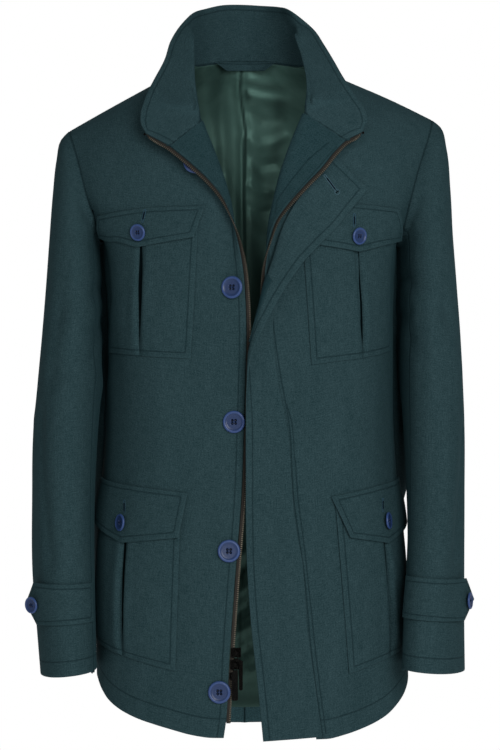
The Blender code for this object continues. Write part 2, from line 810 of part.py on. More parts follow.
def build_sleeves():
    fit_armholes()
    for side in (RIGHT, LEFT):
        grids = {}
        for piece, start, stop, count in (("upper", BACK_SEAM - 360, FRONT_SEAM, UPPER_COLUMNS),
                                          ("under", FRONT_SEAM, BACK_SEAM, UNDER_COLUMNS)):
            angles = np.linspace(start, stop, count)
            rings = [[on_sleeve(side, angle, ring) for angle in angles] for ring in reversed(SLEEVE_RINGS)]
            grid = np.array(rings)
            grids[piece] = grid if side == RIGHT else grid[:, ::-1]
        normals = shared_normals(grids)
        for piece, grid in grids.items():
            name = "sleeve_%s_%s" % (side_name(side), piece)
            for edge in ("first_col", "last_col"):
                grid = draw_in(grid, edge, SLEEVE_SEAM_DRAW)
            wall(name, grid, SHELL, wool(name), normals[piece])


# ---------------------------------------------------------------- collar and what the fold shows

COLLAR_STEPS = 7
COLLAR_OFF = (0.9, 3.2, 1.9)
COLLAR_BEND, BEND_SHARE, SHORT_FALL = 4.0, 0.3, 12.0
CREST_KEPT = 0.84
NECK_TUCK = 1.3
STACK_MIDDLE = -(SEAM_GAP + FACING) / 2
TAPE_GAP = SEAM_GAP + 0.2
STOP_SIZE, STOP_ACROSS, STOP_RISE = (2.6, 2.4, 2.2), 0.65, 4.0
FACING_FOOT = -235


def turned_row(grid, normals, side, row):
    """Roll point, then corners out to the cloth edge, with their normals, of one row of a front."""
    count = ARC_STEPS + RUN_STEPS + 1
    if side == RIGHT:
        return grid[row, -count:], normals[row, -count:]
    return grid[row, count - 1::-1], normals[row, count - 1::-1]


def seam_row(side):
    labels, seam = front_labels(side)
    return len(HEM_STEPS) + labels.index(seam)


def collar_line(start, crest, edge):
    """Corners from the seam over the crest to the outer edge."""
    if crest is None or np.linalg.norm(edge - crest) < SHORT_FALL:
        return [start + (edge - start) * k / (COLLAR_STEPS - 1) for k in range(COLLAR_STEPS)]
    rise, fall = crest - start, edge - crest
    tuck = min(BEND_SHARE, COLLAR_BEND / np.linalg.norm(rise))
    drop = min(BEND_SHARE, COLLAR_BEND / np.linalg.norm(fall))
    top = crest * CREST_KEPT + (start + edge) * (1 - CREST_KEPT) / 2
    return [start, start + rise * 0.5, start + rise * (1 - tuck), top,
            crest + fall * drop, crest + fall * 0.6, edge]


def collar_seam_point(side, part, seam, grids, normals):
    if part == 0:
        name = "front_" + side_name(side)
        points, out = turned_row(grids[name], normals[name], side, seam_row(side))
        steps = points[ARC_STEPS:] + out[ARC_STEPS:] * STACK_MIDDLE
        place = seam * RUN_STEPS
        low = min(int(place), RUN_STEPS - 1)
        return steps[low] + (steps[low + 1] - steps[low]) * (place - low)
    if part == 1:
        x = smooth(NECKLINE["z"], NECKLINE[side_name(side)], seam)
        return np.array([side * x, -depth_at(side, "front", x, seam), seam])
    height = neck_height(seam)
    return np.array([side * seam, depth_at(side, "back", seam, height), height])


def build_collar(grids, normals):
    halves = {}
    for side in (RIGHT, LEFT):
        lines = []
        for row in zip(*COLLAR_STATIONS[side].values()):
            part, seam, crest_x, crest_y, crest_z, edge_x, edge_y, edge_z = row
            start = collar_seam_point(side, part, seam, grids, normals)
            edge = np.array([side * edge_x, edge_y, edge_z])
            crest = None if part == 0 else np.array([side * crest_x, crest_y, crest_z])
            aim = edge if crest is None else crest
            if part == 1:
                start[0] -= side * NECK_TUCK
            start = start + (aim - start) / np.linalg.norm(aim - start) * COLLAR_OFF[int(part)]
            lines.append(collar_line(start, crest, edge))
        halves[side] = np.array(lines)
    grid = np.concatenate([halves[RIGHT], halves[LEFT][-2::-1]])
    wall("collar", grid, COLLAR, wool("collar"))
    return halves


def build_facings(grids, normals):
    for side in (RIGHT, LEFT):
        front, name = "front_" + side_name(side), "facing_" + side_name(side)
        first, last = len(HEM_STEPS) + BODY_LABELS.index(FACING_FOOT), seam_row(side) + 1
        count = ARC_STEPS + RUN_STEPS + 2
        columns = slice(-count, None) if side == RIGHT else slice(0, count)
        grid, out = grids[front][first:last, columns], normals[front][first:last, columns]
        wall(name, draw_in(grid, "last_row", SEAM_GAP), FACING, wool(name), out,
             -(SHELL / 2 + SEAM_GAP + FACING / 2))


def build_tapes(grids, normals, halves):
    """Zip tapes along the cloth edges, from the zip's foot to the collar's corner."""
    tapes = {}
    brass = material("zip_brass", (0.16, 0.12, 0.08), 0.45, 0.8)
    for side in (RIGHT, LEFT):
        front, name = "front_" + side_name(side), "zip_tape_" + side_name(side)
        rows = []
        for row in range(1, seam_row(side) + 1):
            points, _ = turned_row(grids[front], normals[front], side, row)
            across = points[-1] - points[-2]
            across /= np.linalg.norm(across)
            rows.append([points[-1] + across * w for w in (TAPE_GAP, TAPE_WIDTH)])
        ends, inner = halves[side][0], halves[side][1]
        for k in range(1, COLLAR_STEPS):
            across = (ends[k] - inner[k]) / np.linalg.norm(ends[k] - inner[k])
            rows.append([ends[k] + across * w for w in (TAPE_GAP, TAPE_WIDTH)])
        grid = np.array(rows)
        grid = grid if side == RIGHT else grid[:, ::-1]
        wall(name, grid, TAPE, material(name + "_tape", (0.035, 0.03, 0.026), 0.85))
        tapes[side] = grid
        top, below = (row[0] * (1 - STOP_ACROSS) + row[1] * STOP_ACROSS for row in (rows[-1], rows[-2]))
        up = (top - below) / np.linalg.norm(top - below)
        stop = block("zip_top_stop_" + side_name(side), STOP_SIZE, brass)
        place(stop, top + up * (SEAM_GAP + STOP_RISE), up, (0, -1, 0))
    return tapes


# ---------------------------------------------------------------- storm flap

STORM_COLUMNS = 8
STORM_ROWS = (0, 1, 2, 3, 4, 5, 6, 7, 7.5, 8, 8.5, 9, 9.5, 10, 10.5, 11, 11.5, 12, 12.5, 13, 14, 15, 16, 17)
FLY_STRIP_ROWS = (8.5, 11.5)
FLY_STRIP_COLUMNS = slice(2, 5)


def storm_point(row, share, lift=0.0):
    seam_x, seam_z, seam_lift, near_x, near_lift, far_x, far_lift, free_x, free_z, free_lift = row
    t, s = share, 1 - share
    weights = (s ** 3, 3 * s * s * t, 3 * s * t * t, t ** 3)
    x = np.dot(weights, (seam_x, near_x, far_x, free_x))
    height = np.dot(weights, (seam_lift, near_lift, far_lift, free_lift))
    return on_front(LEFT, x, seam_z + (free_z - seam_z) * t, height + lift)


def storm_rows(steps):
    key = np.arange(len(STORM["seam_x"]))
    for place in steps:
        yield [smooth(key, values, place) for values in STORM.values()]


def build_storm_flap():
    shares = np.linspace(1, 0, STORM_COLUMNS)
    grid = np.array([[storm_point(row, share) for share in shares] for row in storm_rows(STORM_ROWS)])
    normals = shared_normals({"storm": grid})["storm"]
    wall("storm_flap", grid, SHELL, wool("storm_flap"), normals)
    first, last = (STORM_ROWS.index(row) for row in FLY_STRIP_ROWS)
    strip = slice(first, last + 1), FLY_STRIP_COLUMNS
    wall("fly_strip", grid[strip], TAPE, material("fly_strip_wool", (0.016, 0.034, 0.042), 0.9),
         normals[strip], -(SHELL / 2 + SEAM_GAP + TAPE / 2))


# ---------------------------------------------------------------- pockets

POCKET_COLUMNS = (0, 0.1, 0.22, 0.36, 0.47, 0.5, 0.53, 0.64, 0.78, 0.9, 1)
POCKET_ROWS = (0, 0.07, 0.25, 0.5, 0.75, 1)
FLAP_COLUMNS = (0, 0.15, 0.3, 0.4, 0.5, 0.6, 0.7, 0.85, 1)
FLAP_ROWS = (0, 0.3, 0.65, 1)
POCKET_SPACE = 0.35
POCKET_BASE = SHELL / 2 + SEAM_GAP + POCKET / 2 + POCKET_SPACE
SWELL_HEIGHT, SWELL_ACROSS, SWELL_FOOT, SWELL_TOP = 2.4, 0.6, 0.6, 1.2
BUTTON_DEPTH = 4.0


def pocket_swell(u, v):
    """Fullness of a pocket: nothing at its edges, its top and along the pleat."""
    if abs(u - 0.5) < 0.01:
        return 0.0
    return SWELL_HEIGHT * (4 * u * (1 - u)) ** SWELL_ACROSS * v ** SWELL_FOOT * (1 - v) ** SWELL_TOP


def across_piece(size, u, v, low="bottoms", high="tops"):
    """Distance round the front at a share across and up a pocket, or a flap read from its top."""
    bottom, top = np.interp(u, (0, 0.5, 1), size[low]), np.interp(u, (0, 0.5, 1), size[high])
    return bottom + (top - bottom) * v


def pocket_point(side, size, u, v, lift=0.0):
    base = size["bases"][0] + (size["bases"][1] - size["bases"][0]) * u
    lift += POCKET_BASE + size["swell"] * pocket_swell(u, v)
    return on_torso(side, "front", across_piece(size, u, v), base + (size["top"] - base) * v, lift)


def build_pockets():
    for name, (side, size) in POCKETS.items():
        grid = np.array([[pocket_point(side, size, u, v) for u in POCKET_COLUMNS] for v in POCKET_ROWS])
        wall("pocket_" + name, grid if side == LEFT else grid[:, ::-1], POCKET, wool("pocket_" + name))


def flap_lift(v):
    """Flap off the front: sewn down at its top (v 0), clear of the pocket below."""
    return FLAP_SEAM_LIFT + FLAP_FALL_LIFT * math.sin(math.pi / 2 * v)


def flap_point(side, size, u, v, lift=0.0):
    top = np.interp(u, (0, 0.5, 1), size["top_heights"])
    base = np.interp(u, (0, 0.5, 1), size["bottom_heights"])
    return on_torso(side, "front", across_piece(size, u, 1 - v), top + (base - top) * v,
                    flap_lift(v) + lift)


def build_pocket_flaps():
    for name, size in POCKET_FLAPS.items():
        side = POCKETS[name][0]
        grid = np.array([[flap_point(side, size, u, v) for u in FLAP_COLUMNS] for v in reversed(FLAP_ROWS)])
        wall("flap_" + name, grid if side == LEFT else grid[:, ::-1], FLAP, wool("flap_" + name))
        top, base = size["top_heights"][1], size["bottom_heights"][1]
        share = (size["button"] - top) / (base - top)
        centre = flap_point(side, size, 0.5, share, FLAP / 2 + size["button_off"])
        out = centre - flap_point(side, size, 0.5, share, -BUTTON_DEPTH)
        sew_button("button_" + name, BUTTON_SMALL, centre, out)


# ---------------------------------------------------------------- cuff tabs

TAB_RINGS = {RIGHT: (10.1, 10.95), LEFT: (10.05, 10.92)}
TAB_COLUMNS = 10
TAB_START = FRONT_SEAM - 4
TAB_POINT, TAB_POINT_POWER = 0.16, 1.2
TAB_FREE_FROM, TAB_FREE_POWER = 0.62, 1.6


def tab_point(side, share, height, lift=0.0):
    """Point of a cuff tab: share 0 at the front sleeve seam, 1 at the point; height 0 bottom, 1 top."""
    size = CUFF_TABS[side]
    top, base = TAB_RINGS[side]
    reach = 1 - TAB_POINT * abs(2 * height - 1) ** TAB_POINT_POWER
    angle = TAB_START + (size["end"] - TAB_START) * share * reach
    off = max(0.0, share * reach - TAB_FREE_FROM) / (1 - TAB_FREE_FROM)
    return on_sleeve(side, angle, base + (top - base) * height,
                     size["base"] + size["lift"] * off ** TAB_FREE_POWER + lift)


def build_cuff_tabs():
    for side in (RIGHT, LEFT):
        name = "cuff_tab_" + side_name(side)
        shares = np.linspace(0, 1, TAB_COLUMNS)
        grid = np.array([[tab_point(side, share, height) for share in shares] for height in (0, 0.5, 1)])
        wall(name, grid if side == LEFT else grid[:, ::-1], FLAP, wool(name))
        size = CUFF_TABS[side]
        share = (TAB_START - size["button"]) / (TAB_START - size["end"])
        centre = tab_point(side, share, 0.5, FLAP / 2 + size["button_off"])
        out = centre - tab_point(side, share, 0.5, -BUTTON_DEPTH)
        sew_button("button_cuff_" + side_name(side), BUTTON_SMALL, centre, out)


# ---------------------------------------------------------------- lining and loop

LINING_ROWS = (1, 2, 3, 4, 5, 6, 8, 9, 11, 13, 14, 15)
LINING_COLUMNS = (0, 1, 2, 4, 6, 8)
LINING_OFF, LINING_EASE, PLEAT = 3.4, 4.5, 5.0
LOOP_HALF_WIDTH, LOOP_INSIDE = 3.0, 15.0
LOOP_PATH = ((-37, 30), (-31, 26), (-22, 23.5), (0, 23), (22, 23.5), (31, 26), (37, 30))


def build_lining(grids, normals):
    """Back lining inside the backs, with a soft pleat down its middle."""
    rows, out = [], []
    for row in LINING_ROWS:
        left = [(grids["back_left"][row, BACK_COLUMNS - k], normals["back_left"][row, BACK_COLUMNS - k])
                for k in LINING_COLUMNS[:0:-1]]
        right = [(grids["back_right"][row, k], normals["back_right"][row, k]) for k in LINING_COLUMNS]
        corners = left + right
        rows.append([point for point, _ in corners])
        out.append([normal for _, normal in corners])
    rows, out = np.array(rows), np.array(out)
    middle = len(LINING_COLUMNS) - 1
    rows[:, middle] -= out[:, middle] * PLEAT
    rows[-2] -= out[-2] * LINING_EASE / 2
    rows[-1, :, 2] -= LINING_EASE
    look = material("lining_satin", (0.02, 0.05, 0.04), 0.35)
    wall("lining_back", rows, LINING, look, out, -LINING_OFF)


def build_loop():
    """Hanger loop: a narrow strap hanging at the back neck seam, its ends at the seam."""
    rows = []
    for half in (-LOOP_HALF_WIDTH, LOOP_HALF_WIDTH):
        line = []
        for x, z in LOOP_PATH:
            depth = depth_at(LEFT, "back", abs(x), min(z, BACK_NECK)) - LOOP_INSIDE
            line.append((x, depth, z + half))
        rows.append(line)
    wall("hanger_loop", np.array(rows, float), TAPE, wool("hanger_loop"))


# ---------------------------------------------------------------- buttons and zip metal


def place(thing, centre, up, out):
    """Stand a piece at a point: its Y along `up`, its Z along `out`."""
    z_axis = Vector(out).normalized()
    y_axis = (Vector(up) - Vector(up).dot(z_axis) * z_axis).normalized()
    turn = Matrix((y_axis.cross(z_axis), y_axis, z_axis)).transposed()
    thing.rotation_euler = turn.to_euler()
    thing.location = Vector(centre) * MM


# Half section of a button, as shares of its radius: flat back, raised rim, dished middle
BUTTON_PROFILE = ((0.82, 0), (1.0, 0.13), (0.97, 0.27), (0.8, 0.3), (0.68, 0.2))
BUTTON_STEPS = 12
FRONT_BUTTON_OFF, TURNED_BUTTON_OFF = 0.6, 1.0


def button_mesh(diameter):
    radius, steps = diameter / 2, BUTTON_STEPS
    corners = [(0, 0, 0)]
    for r, z in BUTTON_PROFILE:
        for k in range(steps):
            turn = math.tau * k / steps
            corners.append((radius * r * math.cos(turn), radius * r * math.sin(turn), radius * z))
    corners.append((0, 0, radius * BUTTON_PROFILE[-1][1]))
    faces = []
    for k in range(steps):
        after = (k + 1) % steps
        faces.append((0, 1 + after, 1 + k))
        for ring in range(len(BUTTON_PROFILE) - 1):
            a, b = 1 + ring * steps, 1 + (ring + 1) * steps
            faces.append((a + k, a + after, b + after, b + k))
        top = 1 + (len(BUTTON_PROFILE) - 1) * steps
        faces.append((len(corners) - 1, top + k, top + after))
    return [np.array(c) * MM for c in corners], faces


def sew_button(name, diameter, centre, out):
    corners, faces = button_mesh(diameter)
    thing = add_object(name, corners, faces, material(name + "_blue", (0.03, 0.06, 0.19), 0.35))
    place(thing, centre, (0, 0, 1), out)


def build_front_buttons():
    for count, (z, inset, lift) in enumerate(FRONT_BUTTONS):
        x = smooth(FOLD[RIGHT]["z"], FOLD[RIGHT]["edge_x"], z) + inset
        base = on_front(RIGHT, x, z, SHELL / 2 + FRONT_BUTTON_OFF + lift)
        out = base - on_front(RIGHT, x, z, -BUTTON_DEPTH)
        sew_button("button_front_%d" % (count + 2), BUTTON_BIG, base, out)
    roll_z, inset = TURNED_BUTTON
    edge_x, edge_z = read(FOLD[RIGHT], "z", roll_z, "edge_x", "edge_z")
    points = turned_part(RIGHT, roll_z)
    above = turned_part(RIGHT, roll_z + BUTTON_DEPTH)
    run = (points[-1] - points[-2]) / np.linalg.norm(points[-1] - points[-2])
    off_front = on_front(RIGHT, edge_x, edge_z, BUTTON_DEPTH) - on_front(RIGHT, edge_x, edge_z)
    out = np.cross(above[-1] - points[-1], run)
    out *= -np.sign(out @ off_front) / np.linalg.norm(out)
    centre = points[-1] - run * inset + out * (SHELL / 2 + TURNED_BUTTON_OFF)
    sew_button("button_front_1", BUTTON_BIG, centre, out)


def block(name, size, look, centre=(0, 0, 0)):
    corners = [np.array([centre[k] + size[k] / 2 * sign[k] for k in range(3)]) * MM
               for sign in ((-1, -1, -1), (1, -1, -1), (1, 1, -1), (-1, 1, -1),
                            (-1, -1, 1), (1, -1, 1), (1, 1, 1), (-1, 1, 1))]
    faces = ((0, 3, 2, 1), (4, 5, 6, 7), (0, 1, 5, 4), (1, 2, 6, 5), (2, 3, 7, 6), (3, 0, 4, 7))
    return add_object(name, corners, faces, look)


def prism(name, outline, height, look):
    """An outline in X and Z drawn out along Y, centred."""
    count = len(outline)
    corners = [np.array([x, y, z]) * MM for y in (-height / 2, height / 2) for x, z in outline]
    faces = [tuple(range(count)), tuple(range(2 * count - 1, count - 1, -1))]
    faces += [(k, k + count, (k + 1) % count + count, (k + 1) % count) for k in range(count)]
    return add_object(name, corners, faces, look)


def trim(thing, tool, operation):
    tool.hide_render = True
    tool.display_type = "WIRE"
    tool.parent = thing
    change = thing.modifiers.new(operation.lower(), "BOOLEAN")
    change.operation = operation
    change.object = tool


# Slider channel round the tape, as X from the cloth edge and Z off the tape
CHANNEL = ((1.3, 1.1), (6.1, 1.1), (6.1, -1.1), (1.3, -1.1))
SLIDER_SECTION = ((1.3, -2.6), (13, -2.6), (13, 2.6), (1.3, 2.6), *CHANNEL)
BOX_SECTION = ((1.3, -2.2), (9, -2.2), (9, 2.2), (1.3, 2.2), *CHANNEL)
BOX_LENGTH = 8.0
LUG_X, HINGE_LIFT = 7.0, 4.6
LUG_SIZE, LUG_MIDDLE, LUG_HOLE = (2.2, 5, 4.9), 4.45, (6, 2.3, 2.3)
BAIL_HALF, BAIL_TOP, BAIL_FOOT, TAB_FOOT = 2.8, 0.7, -7.4, -9.6
BAIL_HOLE, BAIL_HOLE_Y = (3.2, 5.6, 4), -3.5
TAB_CORNER = 1.5
PIN_SIZE, PIN_OFF, PIN_FROM, PIN_TO = (1.6, 14, 1.6), 0.9, 0.25, 0.55
ZIP_LOW_ROWS = 12
PULLS = {
    "upper": dict(left=3.5, right=8.0, length=44.0, shoulder=-12.2),
    "lower": dict(left=-4.2, right=3.2, length=42.0, shoulder=-9.6),
}


def slider_anchor(tapes, z):
    """Cloth edge of the wearer's right front at a height, on the tape's middle plane."""
    line = tapes[RIGHT][:ZIP_LOW_ROWS, 0]
    line = line[np.argsort(line[:, 2])]
    x = np.interp(z, line[:, 2], line[:, 0])
    y = np.interp(z, line[:, 2], line[:, 1])
    return np.array([x - TAPE_GAP, y, z])


def pull_outline(size):
    """Bail round the slider's lug, then the tab, as X beside the hinge and Y down from it."""
    left, right, foot = size["left"], size["right"], -size["length"]
    return [(-BAIL_HALF, BAIL_TOP), (-BAIL_HALF, BAIL_FOOT), (left, size["shoulder"]),
            (left, foot + TAB_CORNER), (left + TAB_CORNER, foot), (right - TAB_CORNER, foot),
            (right, foot + TAB_CORNER), (right, TAB_FOOT), (BAIL_HALF, BAIL_FOOT), (BAIL_HALF, BAIL_TOP)]


def build_zip_metal(tapes):
    brass = material("slider_brass", (0.1, 0.085, 0.07), 0.35, 0.9)
    for count, which in enumerate(("upper", "lower")):
        z = SLIDER_TOP - SLIDER_PITCH * count
        anchor = slider_anchor(tapes, z)
        body = prism("slider_" + which, SLIDER_SECTION, SLIDER_LENGTH, brass)
        place(body, anchor, (0, 0, 1), (0, -1, 0))
        trim(body, block("lug_" + which, LUG_SIZE, brass, (LUG_X, 0, LUG_MIDDLE)), "UNION")
        trim(body, block("lug_hole_" + which, LUG_HOLE, brass, (LUG_X, 0, HINGE_LIFT)), "DIFFERENCE")
        outline = pull_outline(PULLS[which])
        look = material("pull_" + which + "_metal", (0.05, 0.04, 0.035), 0.4, 0.7)
        half = PULL_THICKNESS / 2
        corners = [np.array([x, y, off]) * MM for off in (-half, half) for x, y in outline]
        total = len(outline)
        faces = [tuple(range(total - 1, -1, -1)), tuple(range(total, 2 * total))]
        faces += [(k, (k + 1) % total, (k + 1) % total + total, k + total) for k in range(total)]
        if polygon_area(outline) < 0:
            faces = [tuple(reversed(face)) for face in faces]
        pull = add_object("pull_" + which, corners, faces, look)
        place(pull, anchor + np.array([LUG_X, -HINGE_LIFT, 0]), (0, 0, 1), (0, -1, 0))
        trim(pull, block("bail_hole_" + which, BAIL_HOLE, look, (0, BAIL_HOLE_Y, 0)), "DIFFERENCE")
    foot = slider_anchor(tapes, SLIDER_TOP - ZIP_BOX_DROP)
    box = prism("zip_box", BOX_SECTION, BOX_LENGTH, brass)
    place(box, foot, (0, 0, 1), (0, -1, 0))
    line = tapes[LEFT][:, 0]
    low, high = (line[0] + (line[1] - line[0]) * share for share in (PIN_FROM, PIN_TO))
    pin = block("zip_pin", PIN_SIZE, brass)
    place(pin, (low + high) / 2 + np.array([-SEAM_GAP - PIN_OFF, 0, 0]), high - low, (0, -1, 0))


def polygon_area(outline):
    return sum(a[0] * b[1] - b[0] * a[1] for a, b in zip(outline, outline[1:] + outline[:1])) / 2


# ---------------------------------------------------------------- run


def clear_scene():
    for thing in list(bpy.data.objects):
        bpy.data.objects.remove(thing, do_unlink=True)


clear_scene()
panels, panel_normals = build_torso()
build_sleeves()
collar_halves = build_collar(panels, panel_normals)
build_facings(panels, panel_normals)
zip_tapes = build_tapes(panels, panel_normals, collar_halves)
build_storm_flap()
build_pockets()
build_pocket_flaps()
build_cuff_tabs()
build_lining(panels, panel_normals)
build_loop()
build_front_buttons()
build_zip_metal(zip_tapes)
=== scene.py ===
import json
import math
from collections import deque

import bmesh
import bpy
import numpy as np
from mathutils import Matrix, Vector
from mathutils.bvhtree import BVHTree


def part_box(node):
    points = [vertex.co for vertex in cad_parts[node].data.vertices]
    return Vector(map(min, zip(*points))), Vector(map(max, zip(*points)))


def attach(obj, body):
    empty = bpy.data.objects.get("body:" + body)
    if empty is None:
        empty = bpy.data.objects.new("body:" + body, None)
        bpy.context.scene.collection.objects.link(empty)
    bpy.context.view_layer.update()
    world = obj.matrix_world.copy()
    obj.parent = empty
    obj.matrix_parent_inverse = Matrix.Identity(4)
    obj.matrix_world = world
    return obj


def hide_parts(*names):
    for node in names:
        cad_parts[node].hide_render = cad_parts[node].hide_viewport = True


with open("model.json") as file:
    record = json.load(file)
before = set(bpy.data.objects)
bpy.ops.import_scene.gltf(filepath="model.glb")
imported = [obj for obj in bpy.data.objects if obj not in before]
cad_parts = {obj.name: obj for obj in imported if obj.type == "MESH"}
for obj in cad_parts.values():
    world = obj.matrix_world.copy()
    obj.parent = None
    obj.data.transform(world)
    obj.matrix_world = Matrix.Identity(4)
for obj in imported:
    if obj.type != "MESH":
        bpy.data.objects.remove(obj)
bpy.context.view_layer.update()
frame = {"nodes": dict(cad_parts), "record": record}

print("frame loaded")

mm = 0.001
bodyOf = {node: body for body, nodes in frame["record"]["behaviour"]["bodies"].items() for node in nodes}


def inScene(name, data):
    thing = bpy.data.objects.new(name, data)
    bpy.context.scene.collection.objects.link(thing)
    return thing


def meshThing(name, verts, faces):
    mesh = bpy.data.meshes.new(name)
    mesh.from_pydata([tuple(v) for v in verts], [], faces)
    mesh.shade_smooth()
    return inScene(name, mesh)


def giveField(thing, title, values):
    attribute = thing.data.attributes.new(title, "FLOAT", "POINT")
    attribute.data.foreach_set("value", np.array(values, np.float32))


def dressed(thing, look, stands=None, body="jacket"):
    # its material, the body that it rides on and the CAD node that it stands for
    thing.data.materials.append(look)
    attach(thing, body)
    if stands:
        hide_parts(stands)
    return thing


def byStart(settings, name, fallback=None):
    # the setting whose key is the longest one that the name starts with
    return next((settings[key] for key in sorted(settings, key=len, reverse=True) if name.startswith(key)), fallback)


def distancesAlong(line):
    return np.concatenate([[0], np.cumsum(np.linalg.norm(np.diff(line, axis=0), axis=1))])


def valueAt(stop, at, values):
    return np.array([np.interp(stop, at, values[:, k]) for k in range(3)])


def unit(v):
    return v / max(np.linalg.norm(v), 1e-9)


def partWay(value, low, high):
    return np.clip((value - low) / (high - low), 0, 1)


# the camera stands where the jacket is looked at from, a little to its right
cameraPlace = dict(centre=(0, 0, -0.36), distance=3.0, azimuth=-3.0, mmPerPixel=1.23, longSide=750, sensor=36)
turn = math.radians(cameraPlace["azimuth"])
camera = inScene("camera", bpy.data.cameras.new("camera"))
seenAcross = np.array((math.cos(turn), math.sin(turn), 0))
seenDeep = np.array((-math.sin(turn), math.cos(turn), 0))
camera.location = Vector(cameraPlace["centre"]) - cameraPlace["distance"] * Vector(seenDeep)
camera.rotation_euler = (math.pi / 2, 0, turn)
camera.data.sensor_width = cameraPlace["sensor"]
seenHeight = cameraPlace["longSide"] * cameraPlace["mmPerPixel"] * mm
camera.data.lens = cameraPlace["sensor"] * cameraPlace["distance"] / seenHeight
camera.data.clip_end = 100
bpy.context.scene.camera = camera


def seenLine(x, z):
    # from the camera through a place in mm, on the upright plane through its centre that faces it
    place = Vector((math.cos(turn) * x, math.sin(turn) * x, z)) * mm
    return camera.location.copy(), (place - camera.location).normalized()


# which way the grid's columns run; its rows run up
xPlus, xMinus, yPlus, yMinus = (1, 0, 0), (-1, 0, 0), (0, 1, 0), (0, -1, 0)
clothRows = [  # wall in mm, columns, nodes
    (1.8, xPlus, "front_right front_left"),
    (1.8, xMinus, "back_right back_left"),
    (1.8, yMinus, "sleeve_right_upper"), (1.8, yPlus, "sleeve_left_upper"),
    (1.8, yPlus, "sleeve_right_under"), (1.8, yMinus, "sleeve_left_under"),
    (3.0, xMinus, "collar"),
    (1.2, xPlus, "facing_right facing_left"),
    (1.0, xMinus, "lining_back"),
    (1.2, xPlus, "hanger_loop"),
    (1.8, xPlus, "storm_flap"),
    (1.2, xPlus, "fly_strip zip_tape_right zip_tape_left"),
    (1.4, xPlus, "pocket_chest_right pocket_chest_left pocket_hip_right pocket_hip_left"),
    (1.8, xPlus, "flap_chest_right flap_chest_left flap_hip_right flap_hip_left"),
    (1.8, yMinus, "cuff_tab_right"), (1.8, yPlus, "cuff_tab_left"),
]
clothNodes = {name: (wall * mm, way) for wall, way, names in clothRows for name in names.split()}
readLook = dict(weld=4e-7, wallSlack=2e-6)  # metres


def weldedNode(name):
    mesh = bmesh.new()
    mesh.from_mesh(frame["nodes"][name].data)
    bmesh.ops.remove_doubles(mesh, verts=mesh.verts, dist=readLook["weld"])
    mesh.verts.index_update()
    points = np.array([v.co[:] for v in mesh.verts])
    faces = np.array([[v.index for v in f.verts] for f in mesh.faces])
    mesh.free()
    return points, faces


def skinsOf(points, faces, wall):
    # the two broad skins of a wall: a rim triangle has one edge as long as the wall is thick
    sides = np.linalg.norm(points[faces] - points[np.roll(faces, -1, axis=1)], axis=2)
    rim = (np.abs(sides - wall) < readLook["wallSlack"]).any(1)
    edges, near = {}, {}
    for k in np.flatnonzero(~rim):
        a, b, c = faces[k]
        for p, q in ((a, b), (b, c), (c, a)):
            edges.setdefault((min(p, q), max(p, q)), []).append(k)
    for pair in edges.values():
        if len(pair) == 2:
            near.setdefault(pair[0], []).append(pair[1])
            near.setdefault(pair[1], []).append(pair[0])
    left, skins = set(np.flatnonzero(~rim)), []
    while left:
        todo = [left.pop()]
        found = list(todo)
        while todo:
            for k in near.get(todo.pop(), []):
                if k in left:
                    left.remove(k)
                    todo.append(k)
                    found.append(k)
        skins.append(found)
    skins.sort(key=len, reverse=True)
    return skins[:2], edges


def latticeOf(skin, faces, edges):
    # row and column of each corner: across any edge the next corner completes a parallelogram
    best = None
    inside = set(skin)
    for shift in range(3):
        first = np.roll(faces[skin[0]], shift)
        at = {first[0]: (0, 0), first[1]: (0, 1), first[2]: (1, 1)}
        done, todo = {skin[0]}, deque([skin[0]])
        while todo:
            a, b, c = faces[todo.popleft()]
            for p, r, o in ((a, b, c), (b, c, a), (c, a, b)):
                for other in edges[(min(p, r), max(p, r))]:
                    if other not in done:
                        new = [v for v in faces[other] if v not in (p, r)][0]
                        at.setdefault(new, (at[p][0] + at[r][0] - at[o][0], at[p][1] + at[r][1] - at[o][1]))
                        done.add(other)
                        todo.append(other)
        slanting = sum(abs(at[p][0] - at[r][0]) + abs(at[p][1] - at[r][1]) != 1
                       for (p, r), pair in edges.items() if len(pair) == 1 and pair[0] in inside)
        if best is None or slanting < best[0]:
            best = (slanting, at)
    return best


def gridOf(name, wall, columnsTo):
    # middle surface, outward directions and wall of a cloth node; nan where its grid is empty
    points, faces = weldedNode(name)
    skins, edges = skinsOf(points, faces, wall)
    slanting, at = latticeOf(skins[0], faces, edges)
    if slanting:
        raise ValueError(name + " isn't a plain grid")
    spots = np.array(list(at.values()))
    spots -= spots.min(0)
    ids = np.full(spots.max(0) + 1, -1)
    ids[spots[:, 0], spots[:, 1]] = list(at)
    other = np.array(sorted({v for k in skins[1] for v in faces[k]}))
    middle, out = np.full((*ids.shape, 3), np.nan), np.full((*ids.shape, 3), np.nan)
    for i, j in zip(*np.nonzero(ids >= 0)):
        here = points[ids[i, j]]
        away = points[other] - here
        best = np.abs(np.linalg.norm(away, axis=1) - wall).argmin()
        middle[i, j] = here + away[best] / 2
        out[i, j] = -away[best] / wall
    rows, columns = Vector((0, 0, 1)), Vector(columnsTo)
    steps = [np.nanmean(np.diff(middle, axis=k), axis=(0, 1)) for k in (0, 1)]
    if abs(Vector(steps[1]).dot(rows)) * middle.shape[1] > abs(Vector(steps[0]).dot(rows)) * middle.shape[0]:
        middle, out = middle.transpose(1, 0, 2), out.transpose(1, 0, 2)
        steps = steps[::-1]
    if Vector(steps[0]).dot(rows) < 0:
        middle, out = middle[::-1], out[::-1]
    if Vector(steps[1]).dot(columns) < 0:
        middle, out = middle[:, ::-1], out[:, ::-1]
    down, along = np.gradient(middle, axis=0), np.gradient(middle, axis=1)
    if np.nanmean((np.cross(along, down) * out).sum(2)) < 0:
        out = -out
    return dict(middle=middle, out=out, wall=wall)


